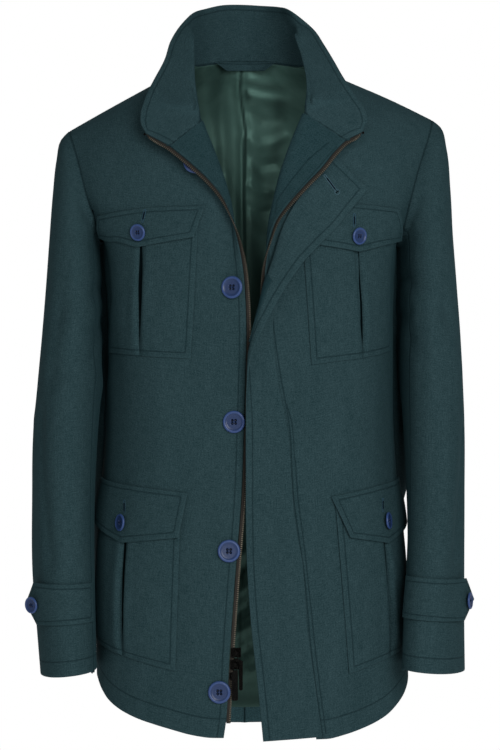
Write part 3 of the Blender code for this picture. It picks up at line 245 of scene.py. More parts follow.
# a finer, smooth surface through the grid's corners
def lineSlopes(values, gaps):
    # slope at each corner of a line, from its uneven neighbours; nan corners end a stretch
    slopes = np.full_like(values, np.nan)
    there = np.flatnonzero(~np.isnan(values[:, 0]))
    if len(there) < 2:
        return slopes
    first, last = there[0], there[-1]
    rise = np.diff(values[first:last + 1], axis=0) / gaps[first:last, None]
    gap = gaps[first:last, None]
    found = np.empty((last - first + 1, values.shape[1]))
    found[1:-1] = (gap[1:] * rise[:-1] + gap[:-1] * rise[1:]) / (gap[1:] + gap[:-1])
    found[0] = rise[0] if len(rise) == 1 else 1.5 * rise[0] - 0.5 * found[1]
    found[-1] = rise[-1] if len(rise) == 1 else 1.5 * rise[-1] - 0.5 * found[-2]
    slopes[first:last + 1] = found
    return slopes


def slopesOf(values, gaps, axis, corners):
    # corners: rows or columns where the surface may turn sharply
    moved, gapsMoved = (values, gaps) if axis == 0 else (values.transpose(1, 0, 2), gaps.T)
    before, after = np.full_like(moved, np.nan), np.full_like(moved, np.nan)
    stops = [0, *corners, moved.shape[0] - 1]
    for line in range(moved.shape[1]):
        for low, high in zip(stops, stops[1:]):
            part = lineSlopes(moved[low:high + 1, line], gapsMoved[low:high, line])
            after[low:high, line] = part[:-1]
            before[low + 1:high + 1, line] = part[1:]
    return (after, before) if axis == 0 else (after.transpose(1, 0, 2), before.transpose(1, 0, 2))


def fineGrid(middle, out, spacing, cornerRows=(), cornerColumns=()):
    # bicubic patches over the grid's cells: points, directions, which cells exist, and corner places
    values = np.concatenate([middle, out], 2)
    rowGap = np.linalg.norm(np.diff(middle, axis=0), axis=2)
    columnGap = np.linalg.norm(np.diff(middle, axis=1), axis=2)
    rowAfter, rowBefore = slopesOf(values, rowGap, 0, cornerRows)
    columnAfter, columnBefore = slopesOf(values, columnGap, 1, cornerColumns)
    rowCuts = [max(1, round(float(np.nanmean(g)) / spacing)) for g in rowGap]
    columnCuts = [max(1, round(float(np.nanmean(g)) / spacing)) for g in columnGap.T]
    rowAt = np.concatenate([[0], np.cumsum(rowCuts)])
    columnAt = np.concatenate([[0], np.cumsum(columnCuts)])
    fine = np.full((rowAt[-1] + 1, columnAt[-1] + 1, 6), np.nan)
    cells = np.zeros((rowAt[-1], columnAt[-1]), bool)

    def weights(count):
        s = np.linspace(0, 1, count + 1)
        return (2 * s ** 3 - 3 * s ** 2 + 1, 3 * s ** 2 - 2 * s ** 3), (s ** 3 - 2 * s ** 2 + s, s ** 3 - s ** 2)

    for i in range(middle.shape[0] - 1):
        for j in range(middle.shape[1] - 1):
            if np.isnan(middle[i:i + 2, j:j + 2]).any():
                continue
            (h, g), (k, f) = weights(rowCuts[i]), weights(columnCuts[j])
            block = 0
            for a in (0, 1):
                for b in (0, 1):
                    down = (rowAfter if a == 0 else rowBefore)[i + a, j + b] * rowGap[i, j + b]
                    across = (columnAfter if b == 0 else columnBefore)[i + a, j + b] * columnGap[i + a, j]
                    block = block + np.multiply.outer(np.outer(h[a], k[b]), values[i + a, j + b])
                    block = block + np.multiply.outer(np.outer(g[a], k[b]), down)
                    block = block + np.multiply.outer(np.outer(h[a], f[b]), across)
            fine[rowAt[i]:rowAt[i + 1] + 1, columnAt[j]:columnAt[j + 1] + 1] = block
            cells[rowAt[i]:rowAt[i + 1], columnAt[j]:columnAt[j + 1]] = True
    direction = fine[..., 3:]
    direction /= np.linalg.norm(direction, axis=2, keepdims=True)
    return dict(points=fine[..., :3].copy(), out=direction, cells=cells, rowAt=rowAt, columnAt=columnAt)


# soft troughs and ridges: for each cloth node that they are traced on, rows of half width mm,
# depth mm (below 0 a trough) and (row, column) places on its grid
creases = [
    ("sleeve_right_upper", [
        (13, -2.7, ((7.2, 11), (7, 9.5), (6.5, 7.5))),
        (17, 1.8, ((6.6, 11), (6.3, 9.2), (5.7, 7.2))),
        (11, -2, ((5.8, 11), (5.6, 9.8), (5.2, 8.3))),
        (15, -1.5, ((9.4, 10.6), (8.9, 8.8), (8.2, 7))),
        (12, -2.4, ((11.2, 9.9), (10.4, 8.9), (9.5, 8.3))),
        (14, -2.2, ((11.3, 1.8), (10.3, 2.4), (9, 2.8))),
        (12, -2.8, ((6.9, 0), (6.6, 1.6), (6, 3.2))),
        (16, 2, ((5.8, 0), (5.3, 2.2), (4.3, 3.9))),
        (20, -1.4, ((4.4, 6.2), (3.2, 5.6), (1.2, 5.9))),
    ]),
    ("sleeve_right_under", [
        (12, -2.6, ((6.3, 0), (6.5, 2), (6.2, 4))),
        (10, -2.4, ((7.5, 0.4), (7.3, 2.4), (7.6, 4.4))),
        (15, 1.8, ((5.2, 0.2), (5, 2.1), (5.3, 4.6))),
    ]),
    ("sleeve_left_upper", [
        (12, -2.5, ((7.5, 0), (7.1, 1.7), (6.4, 3.4))),
        (16, 2, ((6.7, 0), (6.2, 1.9), (5.7, 3.6))),
        (10, -1.8, ((5.9, 0), (5.5, 1.3), (5.2, 2.4))),
        (18, -1.7, ((9.6, 0.6), (8.8, 2.3), (8.4, 4.2))),
        (12, -2.1, ((11.3, 1.2), (10.2, 2.2), (9.4, 2.6))),
        (15, -2.4, ((11.2, 9.3), (10.1, 8.6), (8.8, 8.4))),
        (11, -2.5, ((7.1, 11), (6.7, 9.4), (6.3, 8))),
        (19, -1.4, ((4.7, 4.4), (3, 5.1), (1.4, 4.7))),
    ]),
    ("sleeve_left_under", [
        (11, -2.4, ((6.6, 5), (6.4, 3.1), (6.6, 1.2))),
        (10, -2.5, ((7.9, 4.6), (7.6, 2.7), (7.8, 0.6))),
    ]),
    ("front_right", [
        (24, -2.3, ((9.6, 1.7), (7.4, 2.1), (5.1, 2.9), (3.4, 3.4))),
        (20, 1.6, ((8.4, 4.6), (6.4, 5.2), (4.6, 5.4))),
        (14, -1.9, ((10.4, 0.3), (9.3, 1.2), (8, 1.6))),
        (26, -1.6, ((4.2, 7), (2.9, 6.4), (0.6, 6.6))),
    ]),
    ("front_left", [
        (22, -2.2, ((9.4, 14.2), (7.1, 13.6), (5, 13.3), (3.5, 12.7))),
        (18, 1.5, ((7.9, 11.4), (6.1, 10.7), (4.2, 10.4))),
        (13, -1.8, ((10.5, 15.7), (9.2, 15), (8.1, 14.7))),
        (24, -1.4, ((4.4, 9.3), (2.7, 9.9), (0.8, 9.6))),
    ]),
    ("back_right", [
        (24, -3.3, ((11.4, 5.9), (9.2, 5.2), (7, 4.9), (5.2, 5.1))),
        (16, 3.5, ((9.8, 7.4), (8.4, 6.7), (7.1, 6.5))),
        (19, -3.1, ((5.6, 7.6), (5.2, 6.2), (5.4, 4.4))),
        (22, -2.9, ((4.6, 2.4), (3.2, 3), (1, 2.7))),
        (15, 2.6, ((4.9, 7.8), (4.4, 6.6), (4.5, 5.3))),
    ]),
    ("back_left", [
        (22, -3.5, ((11.2, 2.3), (9, 2.7), (7.2, 3.3), (5.4, 3.2))),
        (15, 3.3, ((9.6, 0.5), (8.2, 1.2), (7.3, 1.3))),
        (18, -2.9, ((5.9, 0.4), (5.5, 1.9), (5.8, 3.3))),
        (25, -2.6, ((4.3, 5.3), (2.8, 4.8), (0.9, 5.4))),
        (13, -2.2, ((13.6, 4.2), (13.1, 6.1), (13.3, 7.7))),
        (24, 9, ((8.2, 1.1), (7, 1.15), (5.4, 1.1), (4.5, 1.05), (3.95, 1.1))),
        (18, 5.5, ((5, 1.1), (4.6, 1.05), (4.1, 1.1))),
        (20, 4.5, ((3, 1), (2.3, 1.1))),
    ]),
    ("back_right", [
        (24, 5.5, ((8.2, 6.9), (6.8, 6.85), (5.1, 6.95), (3.4, 7), (2.3, 6.9))),
    ]),
    ("sleeve_right_upper", [
        (11, -3, ((8.6, 8.2), (6.9, 7.8), (5.2, 7.4))),
        (10, -3.4, ((4.4, 6.4), (3.1, 6.8), (2.2, 7.3))),
        (16, 2.2, ((5, 8.7), (3.6, 8.8), (2.3, 9.1))),
    ]),
    ("sleeve_left_upper", [
        (11, -3, ((8.1, 3), (6.2, 3.3), (4.6, 3.1))),
        (10, -3.2, ((4, 5.6), (2.9, 5.2), (2.2, 4.9))),
        (15, 2.1, ((5.2, 4.6), (3.7, 4), (2.4, 3.6))),
    ]),
    ("lining_back", [
        (3.6, -3.4, ((11, 5.32), (9.65, 5.4), (9, 5.36), (8.6, 5.2), (8.47, 5.1), (8.27, 5.22), (7.4, 5.18),
            (5.2, 5.12), (3, 5.05), (0.5, 5))),
        (4, 2.4, ((11, 5.12), (9.65, 5.18), (9, 5.14), (8.6, 4.99), (8.4, 4.92), (7.4, 4.98), (5, 4.95))),
        (4, 1.6, ((10.6, 5.55), (9.4, 5.62), (8.5, 5.42), (7.2, 5.4), (5.6, 5.36))),
        (6, -2.6, ((10, 4.9), (9.75, 4.3), (9.8, 3.5))),
        (6, 2.4, ((9.6, 4.9), (9.4, 4.2), (9.35, 3.4))),
        (7, -3, ((9.15, 4.9), (9.02, 4.4), (9, 3.9), (9.1, 3.3))),
        (7, 2.6, ((8.8, 4.8), (8.66, 4.2), (8.7, 3.4))),
        (6, -2.8, ((8.35, 4.9), (8.22, 4.4), (8.25, 3.8), (8.4, 3.2))),
        (6, 2.2, ((8.05, 4.85), (7.9, 4.3), (7.95, 3.6))),
        (5, -2.6, ((7.6, 4.8), (7.52, 4.4), (7.5, 3.9))),
        (5, 2.2, ((7.3, 4.85), (7.2, 4.3), (7.25, 3.8))),
        (9, -2, ((10.4, 6.3), (9.3, 6.7), (8.2, 6.4), (7.3, 6.5))),
        (8, 1.8, ((10.2, 5.9), (9, 6.1), (7.8, 5.9))),
        (7, 1.7, ((9.9, 7), (8.9, 7.3), (8.1, 7))),
        (9, -1.8, ((9, 2.6), (8.2, 2.9), (7.4, 3))),
        (6, -3.2, ((2.4, 4.1), (2.22, 4.8), (2, 5.6))),
        (5, 3, ((2.15, 4.2), (2, 4.9), (1.72, 5.5))),
        (5, -2.8, ((1.85, 4.3), (1.66, 5), (1.5, 5.6))),
        (5, 2.7, ((1.6, 4.2), (1.42, 4.8), (1.2, 5.5))),
        (6, -3, ((1.3, 4.1), (1.1, 4.8), (0.95, 5.6))),
        (5, 2.6, ((0.9, 4.2), (0.75, 5), (0.6, 5.5))),
        (5, -2.2, ((0.55, 4.3), (0.42, 5.1), (0.4, 5.6))),
        (9, -2, ((3.9, 4.4), (3.2, 4.7), (2.8, 5.3))),
        (30, -6, ((6.2, 1.3), (5, 1.35), (4, 1.3), (2.8, 1.25))),
        (30, -6, ((6.2, 8.7), (5, 8.65), (4, 8.7), (2.8, 8.75))),
    ]),
]


def placeOn(grid, row, column):
    middle = grid["middle"]
    i, j = min(int(row), middle.shape[0] - 2), min(int(column), middle.shape[1] - 2)
    s, t = row - i, column - j
    return ((1 - s) * (1 - t) * middle[i, j] + (1 - s) * t * middle[i, j + 1]
            + s * (1 - t) * middle[i + 1, j] + s * t * middle[i + 1, j + 1])


def creaseField(points, lines):
    # how far each point moves along its outward direction
    total = np.zeros(len(points))
    for line, width, depth in lines:
        nearest = np.full(len(points), np.inf)
        for a, b in zip(line[:-1], line[1:]):
            d = b - a
            t = np.clip(((points - a) @ d) / (d @ d), 0, 1)
            nearest = np.minimum(nearest, ((points - a - t[:, None] * d) ** 2).sum(1))
        total += depth * mm * np.exp(-nearest / (width * mm) ** 2)
    return total


# spacing: mm between the fine grid's points; rimBend: how far the rounded rim reaches in, mm
clothSizes = dict(spacing=4.2, smallSpacing=2.4, liningSpacing=3.2, rimSteps=4, rimBend=0.9)
broadPieces = {"lining": "liningSpacing", "front": "spacing", "back": "spacing", "sleeve": "spacing"}
grids = {name: gridOf(name, *facts) for name, facts in clothNodes.items()}
print("grids read", {name: g["middle"].shape[:2] for name, g in grids.items()})


def gridLengths(points):
    # distance along the rows and along the columns from the first corner there is
    across = np.linalg.norm(np.diff(points, axis=1), axis=2)
    up = np.linalg.norm(np.diff(points, axis=0), axis=2)
    u, v = np.zeros(points.shape[:2]), np.zeros(points.shape[:2])
    u[:, 1:] = np.cumsum(np.nan_to_num(across), axis=1)
    v[1:] = np.cumsum(np.nan_to_num(up), axis=0)
    return u, v


def quadsOf(fine):
    width = fine["points"].shape[1]
    return [(i * width + j, i * width + j + 1, (i + 1) * width + j + 1, (i + 1) * width + j)
            for i, j in zip(*np.nonzero(fine["cells"]))]


def borderOf(fine):
    # directed border edges of the fine grid's cells, so that the cloth lies to their left
    edges = dict.fromkeys((quad[k], quad[(k + 1) % 4]) for quad in quadsOf(fine) for k in range(4))
    return [(a, b) for a, b in edges if (b, a) not in edges]


def clothPiece(name, fine, reach, fields):
    # closed cloth: outer skin, inner skin and a rounded rim, with its lengths in a UV map
    flat, away = fine["points"].reshape(-1, 3), fine["out"].reshape(-1, 3)
    border = fine["border"]
    inward = np.zeros_like(flat)
    for a, b in border:
        side = np.cross(away[a], flat[b] - flat[a])
        inward[a] += side
        inward[b] += side
    edgeIds = sorted({a for a, _ in border})
    for k in edgeIds:
        inward[k] -= away[k] * (inward[k] @ away[k])
        inward[k] /= max(np.linalg.norm(inward[k]), 1e-12)
    if fine["flipped"]:
        inward = -inward
    half = fine["wall"] / 2
    steps = clothSizes["rimSteps"]
    bend = min(half, clothSizes["rimBend"] * mm)
    quads = quadsOf(fine)
    used = sorted({k for quad in quads for k in quad})
    verts, index, source = [], {}, []
    for sign in (1, -1):
        for k in used:
            index[(k, sign)] = len(verts)
            verts.append(flat[k] + away[k] * half * sign + inward[k] * (bend - reach[k]))
            source.append(k)
    for k in edgeIds:
        for step in range(1, steps):
            angle = math.pi / 2 - math.pi * step / steps
            index[(k, "rim", step)] = len(verts)
            push = bend * (1 - math.cos(angle)) - reach[k]
            verts.append(flat[k] + away[k] * half * math.sin(angle) + inward[k] * push)
            source.append(k)
    faces, spots, kinds = [], [], []
    for ids in quads:
        faces.append([index[(k, 1)] for k in ids])
        faces.append([index[(k, -1)] for k in reversed(ids)])
        spots += [ids, ids[::-1]]
        kinds += [0, 1]
    for a, b in border:
        rings = [[index[(k, 1)], *(index[(k, "rim", step)] for step in range(1, steps)), index[(k, -1)]]
                 for k in (a, b)]
        for s in range(steps):
            faces.append([rings[0][s], rings[0][s + 1], rings[1][s + 1], rings[1][s]])
            spots.append((a, a, b, b))
            kinds.append(2)
    if fine["flipped"]:
        faces = [f[::-1] for f in faces]
        spots = [s[::-1] for s in spots]
    thing = meshThing(name, verts, faces)
    u, v = (x.ravel() for x in fine["lengths"])
    corners = np.array([(u[k], v[k]) for s in spots for k in s])
    thing.data.uv_layers.new(name="cloth").data.foreach_set("uv", corners.ravel())
    for title, field in fields.items():
        giveField(thing, title, field.ravel()[source])
    return thing, kinds, spots


creaseLines = [(node, np.array([placeOn(grids[node], *place) for place in places]), width, depth)
               for node, rows in creases for width, depth, places in rows]


def creased(name, fine):
    # the lining takes the shell's creases and its own, which no other piece takes
    flat, away = fine["points"].reshape(-1, 3), fine["out"].reshape(-1, 3)
    there = ~np.isnan(flat[:, 0])
    lines = [line[1:] for line in creaseLines if line[0] != "lining_back" or name == "lining_back"]
    flat[there] += away[there] * creaseField(flat[there], lines)[:, None]
    return fine


def stretchOf(fine, row):
    # share of the way up, and distance from the pleat's line, along one row of a pocket
    middle = fine["columnAt"][pleatLook["column"]]
    steps = distancesAlong(fine["points"][row])
    return row / (len(fine["points"]) - 1), steps - steps[middle], middle


# mm; openings: half width of the slit at shares of the way up; leans: how far the slit's top leans sideways
pleatLook = dict(
    column=5, lip=0.7, lowLip=0.4, lipAt=3.2, lipWidth=3.2, sunk=0.9, wall=0.35, leanWidth=16,
    leans={"pocket_chest_left": -4.6},
    openings={
        "pocket": ((0, 0), (0.06, 0.2), (0.2, 0.6), (0.33, 1.2), (0.45, 1.9), (0.62, 2.1), (0.77, 1.4), (0.92, 0.7),
                   (1, 0.4)),
        "pocket_chest_left": ((0, 0), (0.1, 0.2), (0.22, 1.0), (0.36, 1.6), (0.6, 1.6), (0.8, 1.6), (1, 1.4)),
        "pocket_hip_right": ((0, 0), (0.12, 0.2), (0.3, 0.9), (0.5, 1.3), (0.8, 1.0), (1, 0.6)),
        "pocket_hip_left": ((0, 0.1), (0.3, 0.3), (0.7, 0.4), (1, 0.4)),
    })


def pleated(fine, name):
    # lips of the pleat stand up and close in on its line, leaving a slit between them whose floor is painted near
    # black as shade
    points, out = fine["points"], fine["out"]
    mask = np.zeros(points.shape[:2])
    shares, widths = zip(*byStart(pleatLook["openings"], name))
    low = pleatLook["lowLip"]
    for row in range(len(points)):
        up, away, middle = stretchOf(fine, row)
        rise = (low + (1 - low) * up) * pleatLook["lip"] * mm
        lift = rise * np.exp(-((np.abs(away) / mm - pleatLook["lipAt"]) / pleatLook["lipWidth"]) ** 2)
        half = np.interp(up, shares, widths)
        lean = pleatLook["leans"].get(name, 0) * up * np.exp(-(away / mm / pleatLook["leanWidth"]) ** 2)
        points[row] += seenAcross * (lean * mm)[:, None]
        base = points[row, middle].copy()
        points[row] += out[row] * lift[:, None]
        for side in (-1, 1):
            points[row, middle + side] = base + (seenAcross * side * half + seenDeep * pleatLook["sunk"]) * mm
            points[row, middle + 2 * side] = base + seenAcross * side * (half + pleatLook["wall"]) * mm
        points[row, middle] = base + seenDeep * pleatLook["sunk"] * mm
        # how much painted shade the slit's floor takes
        mask[row, middle - 1:middle + 2] = min(1, half * 2)
    fine["pleat"] = mask
    return fine


# how much higher the collar's top edge stands at some columns of its grid, mm
collarLook = dict(rows=7, raised={13: 3.8, 14: 2.9, 11: 1.8, 10: 1.5})
for column, shift in collarLook["raised"].items():
    for row in range(collarLook["rows"]):
        grids["collar"]["middle"][row, column, 2] += shift * mm * row / (collarLook["rows"] - 1)

# mm its top edge goes out and up under the collar; folds: lines and patches of painted shade, each as half width,
# share of dark and places on its grid
liningLook = dict(out=1.5, up=4.0, folds=[
    (2.4, 1.0, ((11, 5.2), (9.65, 5.27), (9.0, 5.22), (8.6, 5.06), (8.4, 5.02), (7.4, 5.06), (5.4, 5.02))),
    (5.0, 0.8, ((9.35, 4.98), (9.2, 4.95), (9.1, 4.9))),
    (24, 0.72, ((11, 7.3), (9.2, 7.2), (8.0, 6.9), (7.2, 6.6))),
    (20, 0.72, ((10.4, 6.4), (9.0, 6.3), (8.0, 6.2), (7.2, 6.1))),
    (9, 0.5, ((9.0, 3.5), (8.3, 3.5), (7.6, 3.8), (7.0, 4.1))),
    (28, 0.62, ((2.6, 4.9), (1.4, 4.9), (0.3, 4.9))),
    (2.6, 1.0, ((1.95, 5.1), (1.4, 5.18), (0.8, 5.2), (0.3, 5.25))),
    (3.2, 0.95, ((1.92, 4.9), (1.8, 5.2), (1.72, 5.6))),
    (3.2, 0.95, ((1.62, 5.5), (1.5, 5.2), (1.42, 4.8))),
    (3.2, 0.95, ((1.28, 4.8), (1.2, 5.1), (1.12, 5.5))),
    (3.2, 0.95, ((0.95, 5.4), (0.85, 5.1), (0.8, 4.7))),
    (17, 0.85, ((0.1, 6.0), (0.1, 4.0))),
    (9, 0.4, ((10.2, 5.8), (8.9, 6.0), (8.0, 5.8), (7.0, 5.7))),
    (6, 0.45, ((8.75, 4.7), (8.6, 4.0), (8.7, 3.3))),
    (6, 0.45, ((7.85, 4.7), (7.7, 4.2), (7.75, 3.6))),
    (8, 0.5, ((7.1, 4.8), (6.9, 4.2), (6.8, 3.8))),
])


def liningRaised(fine, name):
    flat = fine["points"].reshape(-1, 3)
    there = ~np.isnan(flat[:, 0])
    # painted shade along the lining's folds, handed to the satin as a field
    fold = np.zeros(len(flat))
    for width, share, places in liningLook["folds"]:
        line = np.array([placeOn(grids[name], *place) for place in places]) * (1, 0, 1)
        fold[there] = np.maximum(fold[there], creaseField(flat[there] * (1, 0, 1), [(line, width, share / mm)]))
    fine["pleat"] = fold.reshape(fine["points"].shape[:2])
    start, stop = fine["rowAt"][-2], fine["rowAt"][-1]
    for row in range(start, stop + 1):
        share = (row - start) / (stop - start)
        fine["points"][row] += fine["out"][row] * liningLook["out"] * mm * share
        fine["points"][row, :, 2] += liningLook["up"] * mm * share
    return fine


# corners of the loop's strap as the camera sees them, mm: two at the bottom, two at the top
loopLook = dict(bottom=(-28.3, 17.2, 13.9), top=(-42.5, 31.5, 24.6))


def loopShaped(fine, name):
    # the strap lies flat along the seam it hangs from, with slanting ends
    points = fine["points"]
    rows, columns = points.shape[:2]
    for row in range(rows):
        low, high, level = (a + (b - a) * row / (rows - 1) for a, b in zip(loopLook["bottom"], loopLook["top"]))
        for column in range(columns):
            start, way = seenLine(low + (high - low) * column / (columns - 1), level)
            depth = points[row, column, 1]
            points[row, column] = np.array(start + way * ((depth - start.y) / way.y))
    return fine


sharp = {"flap": dict(cornerColumns=(4,)), "cuff_tab": dict(cornerRows=(1,))}  # where their points are
ownShapes = {"pocket": pleated, "lining": liningRaised, "hanger": loopShaped}
fines = {}
for name, grid in grids.items():
    spacing = clothSizes[byStart(broadPieces, name, "smallSpacing")] * mm
    fine = creased(name, fineGrid(grid["middle"], grid["out"], spacing, **byStart(sharp, name, {})))
    fine.update(wall=grid["wall"], pleat=np.zeros(fine["points"].shape[:2]))
    shaped = byStart(ownShapes, name)
    fine = shaped(fine, name) if shaped else fine
    points, out = fine["points"], fine["out"]
    fine["border"] = borderOf(fine)
    i, j = (k[0] for k in np.nonzero(fine["cells"]))
    fine["flipped"] = np.cross(points[i, j + 1] - points[i, j], points[i + 1, j] - points[i, j]) @ out[i, j] < 0
    fine["lengths"] = gridLengths(points)
    fines[name] = fine

# where pieces are sewn to each other their edges reach out to meet; mm
# beside the neck (footFrom: along y) the collar's foot goes all the way down to the shoulders
seamLook = dict(sewn=("front", "back", "sleeve", "collar"), reach=5, over=0.35, footReach=3, footShare=0.9,
                footGap=(3, 5), footFrom=(-60, -30))
borders = {name: fine["points"].reshape(-1, 3)[[a for a, _ in fine["border"]]] for name, fine in fines.items()}
reaches = {}
for name, fine in fines.items():
    reach = np.zeros(fine["points"].shape[0] * fine["points"].shape[1])
    if name.startswith(seamLook["sewn"]):
        others = np.concatenate([borders[o] for o in borders if o != name and o.startswith(seamLook["sewn"])])
        for k in {a for a, _ in fine["border"]}:
            place = fine["points"].reshape(-1, 3)[k]
            gap = np.linalg.norm(others - place, axis=1).min()
            foot = 0
            if name == "collar":
                foot = partWay(gap / mm, *seamLook["footGap"]) * partWay(place[1] / mm, *seamLook["footFrom"])
            if gap < (seamLook["reach"] + seamLook["footReach"] * foot) * mm:
                reach[k] = (0.5 + seamLook["footShare"] * foot) * gap + seamLook["over"] * mm
    reaches[name] = reach
print("seams closed")

# distance in mm of the stitching from each edge of a piece's grid
seamEdges = {
    "pocket": dict(first=7, last=7, bottom=7),
    "flap": dict(first=7, last=7, bottom=7, top=5.5),
    "cuff_tab": dict(first=6, last=6, bottom=6, top=6),
    "collar": dict(first=7, last=7, top=7),
    "storm_flap": dict(first=8, top=8),
    "front_right": dict(last=8),
    "front_left": dict(first=8),
    "hanger_loop": dict(top=2.2),
}
hemEdges = {"front": 23, "back": 23, "sleeve": 18}
# mm; shoulders: where along a stitch it stands at its full height; dip: how deep its ends go, in radii
stitchLook = dict(length=2.5, gap=0.9, first=0.5, radius=0.24, sink=0.06, shoulders=(0.2, 0.8), dip=2)
farAway = 1.0  # the field's value where there is no stitching, metres
tracedLook = dict(beyond=0.02, widest=0.4)  # share of a stretch past its ends, and metres on each side

# more lines, each through places (x, z) in mm as the camera sees them
tracedSeams = {
    "front_left": [((44, -392), (52, -421), (59, -514), (68, -583), (79, -689), (86, -748), (94, -806))],
    "facing_left": [((97, -74), (71, -96), (57, -113), (44, -130), (33, -146), (31, -162)),
                    ((108, -79), (86, -103), (71, -120), (50, -144), (38, -162), (31, -177))],
}


def surfaceOf(fine):
    nowhere = (0, 9, 0)  # stands in for the empty corners, which no face has
    flat = [nowhere if np.isnan(p[0]) else p for p in fine["points"].reshape(-1, 3)]
    return BVHTree.FromPolygons([Vector(p) for p in flat], quadsOf(fine))


def castOn(surface, fine, x, z):
    # where a seen place falls on a piece, and the cloth's outward direction there
    hit = surface.ray_cast(*seenLine(x, z))[0]
    if hit is None:
        return None
    return np.array(hit), outAt(fine, np.array(hit))


def outAt(fine, place):
    gaps = ((fine["points"] - place) ** 2).sum(2)
    return fine["out"][np.unravel_index(np.nanargmin(gaps), gaps.shape)]


def tracedField(name, fine):
    # signed distance to the traced lines; nought along each of them
    total = np.full(fine["points"].shape[:2], farAway)
    surface = surfaceOf(fine)
    for places in byStart(tracedSeams, name, []):
        hits = [castOn(surface, fine, x, z) for x, z in places]
        line = np.array([hit[0] for hit in hits if hit])
        signed = np.full(total.shape, farAway)
        nearest = np.full(total.shape, np.inf)
        for a, b in zip(line[:-1], line[1:]):
            d = b - a
            share = ((fine["points"] - a) @ d) / (d @ d)
            off = fine["points"] - a - np.clip(share, 0, 1)[..., None] * d
            away = np.linalg.norm(off, axis=2)
            side = np.sign((np.cross(d, fine["out"]) * off).sum(2))
            inside = np.abs(share - 0.5) < 0.5 + tracedLook["beyond"]
            closer = away < nearest
            signed[closer] = np.where(inside, away * side, farAway)[closer]
            nearest[closer] = away[closer]
        total = total * signed / (np.abs(total) + np.abs(signed))
        total[np.abs(total) > tracedLook["widest"]] = farAway
    return total


def edgeDistances(fine):
    u, v = fine["lengths"]
    return dict(first=u, last=u[:, -1:] - u, bottom=v, top=v[-1:] - v)


def seamFields(name, fine):
    away = edgeDistances(fine)
    shape = fine["points"].shape[:2]
    seam, hem = np.full(shape, farAway), np.full(shape, farAway)
    for edge, distance in byStart(seamEdges, name, {}).items():
        seam = np.minimum(seam, away[edge] - distance * mm)
    if name.startswith("front"):
        # the neck seam above the turned part isn't topstitched
        turned = np.isnan(fine["points"][:, -1 if name == "front_right" else 0, 0])
        seam[turned] = farAway
    distance = byStart(hemEdges, name)
    if distance is not None:
        hem = away["bottom"] - distance * mm
    return dict(seam=seam, hem=hem, traced=tracedField(name, fine))


def isoLines(fine, field):
    # lines where a field over the fine grid is nought, as lists of points and outward directions
    points, out = fine["points"], fine["out"]
    low = field < 0
    mixed = (low[:-1, :-1] != low[1:, 1:]) | (low[:-1, 1:] != low[1:, :-1]) | (low[:-1, :-1] != low[:-1, 1:])
    spots, near = {}, {}

    def crossing(a, b):
        if low[a] == low[b] or abs(field[a] - field[b]) > farAway / 4:
            return None
        key = (a, b)
        if key not in spots:
            t = field[a] / (field[a] - field[b])
            spots[key] = (points[a] * (1 - t) + points[b] * t, out[a] * (1 - t) + out[b] * t)
        return key

    for i, j in zip(*np.nonzero(mixed & fine["cells"])):
        a, b, c, d = (i, j), (i, j + 1), (i + 1, j), (i + 1, j + 1)
        found = [k for k in (crossing(a, b), crossing(c, d), crossing(a, c), crossing(b, d)) if k]
        if len(found) == 2:
            near.setdefault(found[0], []).append(found[1])
            near.setdefault(found[1], []).append(found[0])
    lines, left = [], dict(near)
    for start in sorted(near, key=lambda k: (len(near[k]), k)):
        if start not in left:
            continue
        line, here = [start], start
        del left[start]
        while True:
            ahead = [k for k in near[here] if k in left]
            if not ahead:
                break
            here = ahead[0]
            del left[here]
            line.append(here)
        if len(line) > 2:
            lines.append((np.array([spots[k][0] for k in line]), np.array([spots[k][1] for k in line])))
    return lines


def runsAlong(lines):
    # thread runs (start, end, outward direction, radius) along (points, directions) lines
    runs = []
    length, pitch = stitchLook["length"] * mm, (stitchLook["length"] + stitchLook["gap"]) * mm
    for points, out in lines:
        at = distancesAlong(points)
        for start in np.arange(stitchLook["first"] * mm, at[-1] - length, pitch):
            ends = [valueAt(stop, at, points) for stop in (start, start + length)]
            runs.append((*ends, unit(valueAt(start, at, out)), stitchLook["radius"] * mm))
    return runs


def threadMesh(name, runs, sink=stitchLook["sink"]):
    # each run is a short rounded thread whose ends dip into the cloth
    verts, faces = [], []
    for start, end, n, r in runs:
        across = unit(np.cross(end - start, n))
        base = len(verts)
        verts.append(start - n * stitchLook["dip"] * r)
        for share in stitchLook["shoulders"]:
            q = start + (end - start) * share - n * sink * mm
            verts += [q + across * r, q + n * r, q - across * r, q - n * r]
        verts.append(end - n * stitchLook["dip"] * r)
        for k in range(4):
            m = (k + 1) % 4
            faces += [(base, base + 1 + m, base + 1 + k), (base + 9, base + 5 + k, base + 5 + m),
                      (base + 1 + k, base + 1 + m, base + 5 + m, base + 5 + k)]
    return meshThing(name, verts, faces)


# shader nodes; a socket is named with _ for each space, or by its number as i0, i1 and so on
def addNode(tree, kind, settings=None, **sockets):
    node = tree.nodes.new(kind)
    for key, value in (settings or {}).items():
        setattr(node, key, value)
    for key, value in sockets.items():
        numbered = key[0] == "i" and key[1:].isdigit()
        socket = node.inputs[int(key[1:]) if numbered else key.replace("_", " ")]
        if isinstance(value, bpy.types.NodeSocket):
            tree.links.new(value, socket)
        else:
            socket.default_value = value
    return node


def newGroup(name, title, value, outputs):
    # a group with a width in mm as its input; returned in metres, and giveOut links the outputs
    tree = bpy.data.node_groups.new(name, "ShaderNodeTree")
    tree.interface.new_socket(title, in_out="INPUT", socket_type="NodeSocketFloat").default_value = value
    for output in outputs:
        tree.interface.new_socket(output, in_out="OUTPUT", socket_type="NodeSocketFloat")
    width = mathNode(tree, "MULTIPLY", tree.nodes.new("NodeGroupInput").outputs[0], mm)
    return tree, width


def giveOut(tree, *results):
    last = tree.nodes.new("NodeGroupOutput")
    for k, result in enumerate(results):
        tree.links.new(result, last.inputs[k])
    return tree


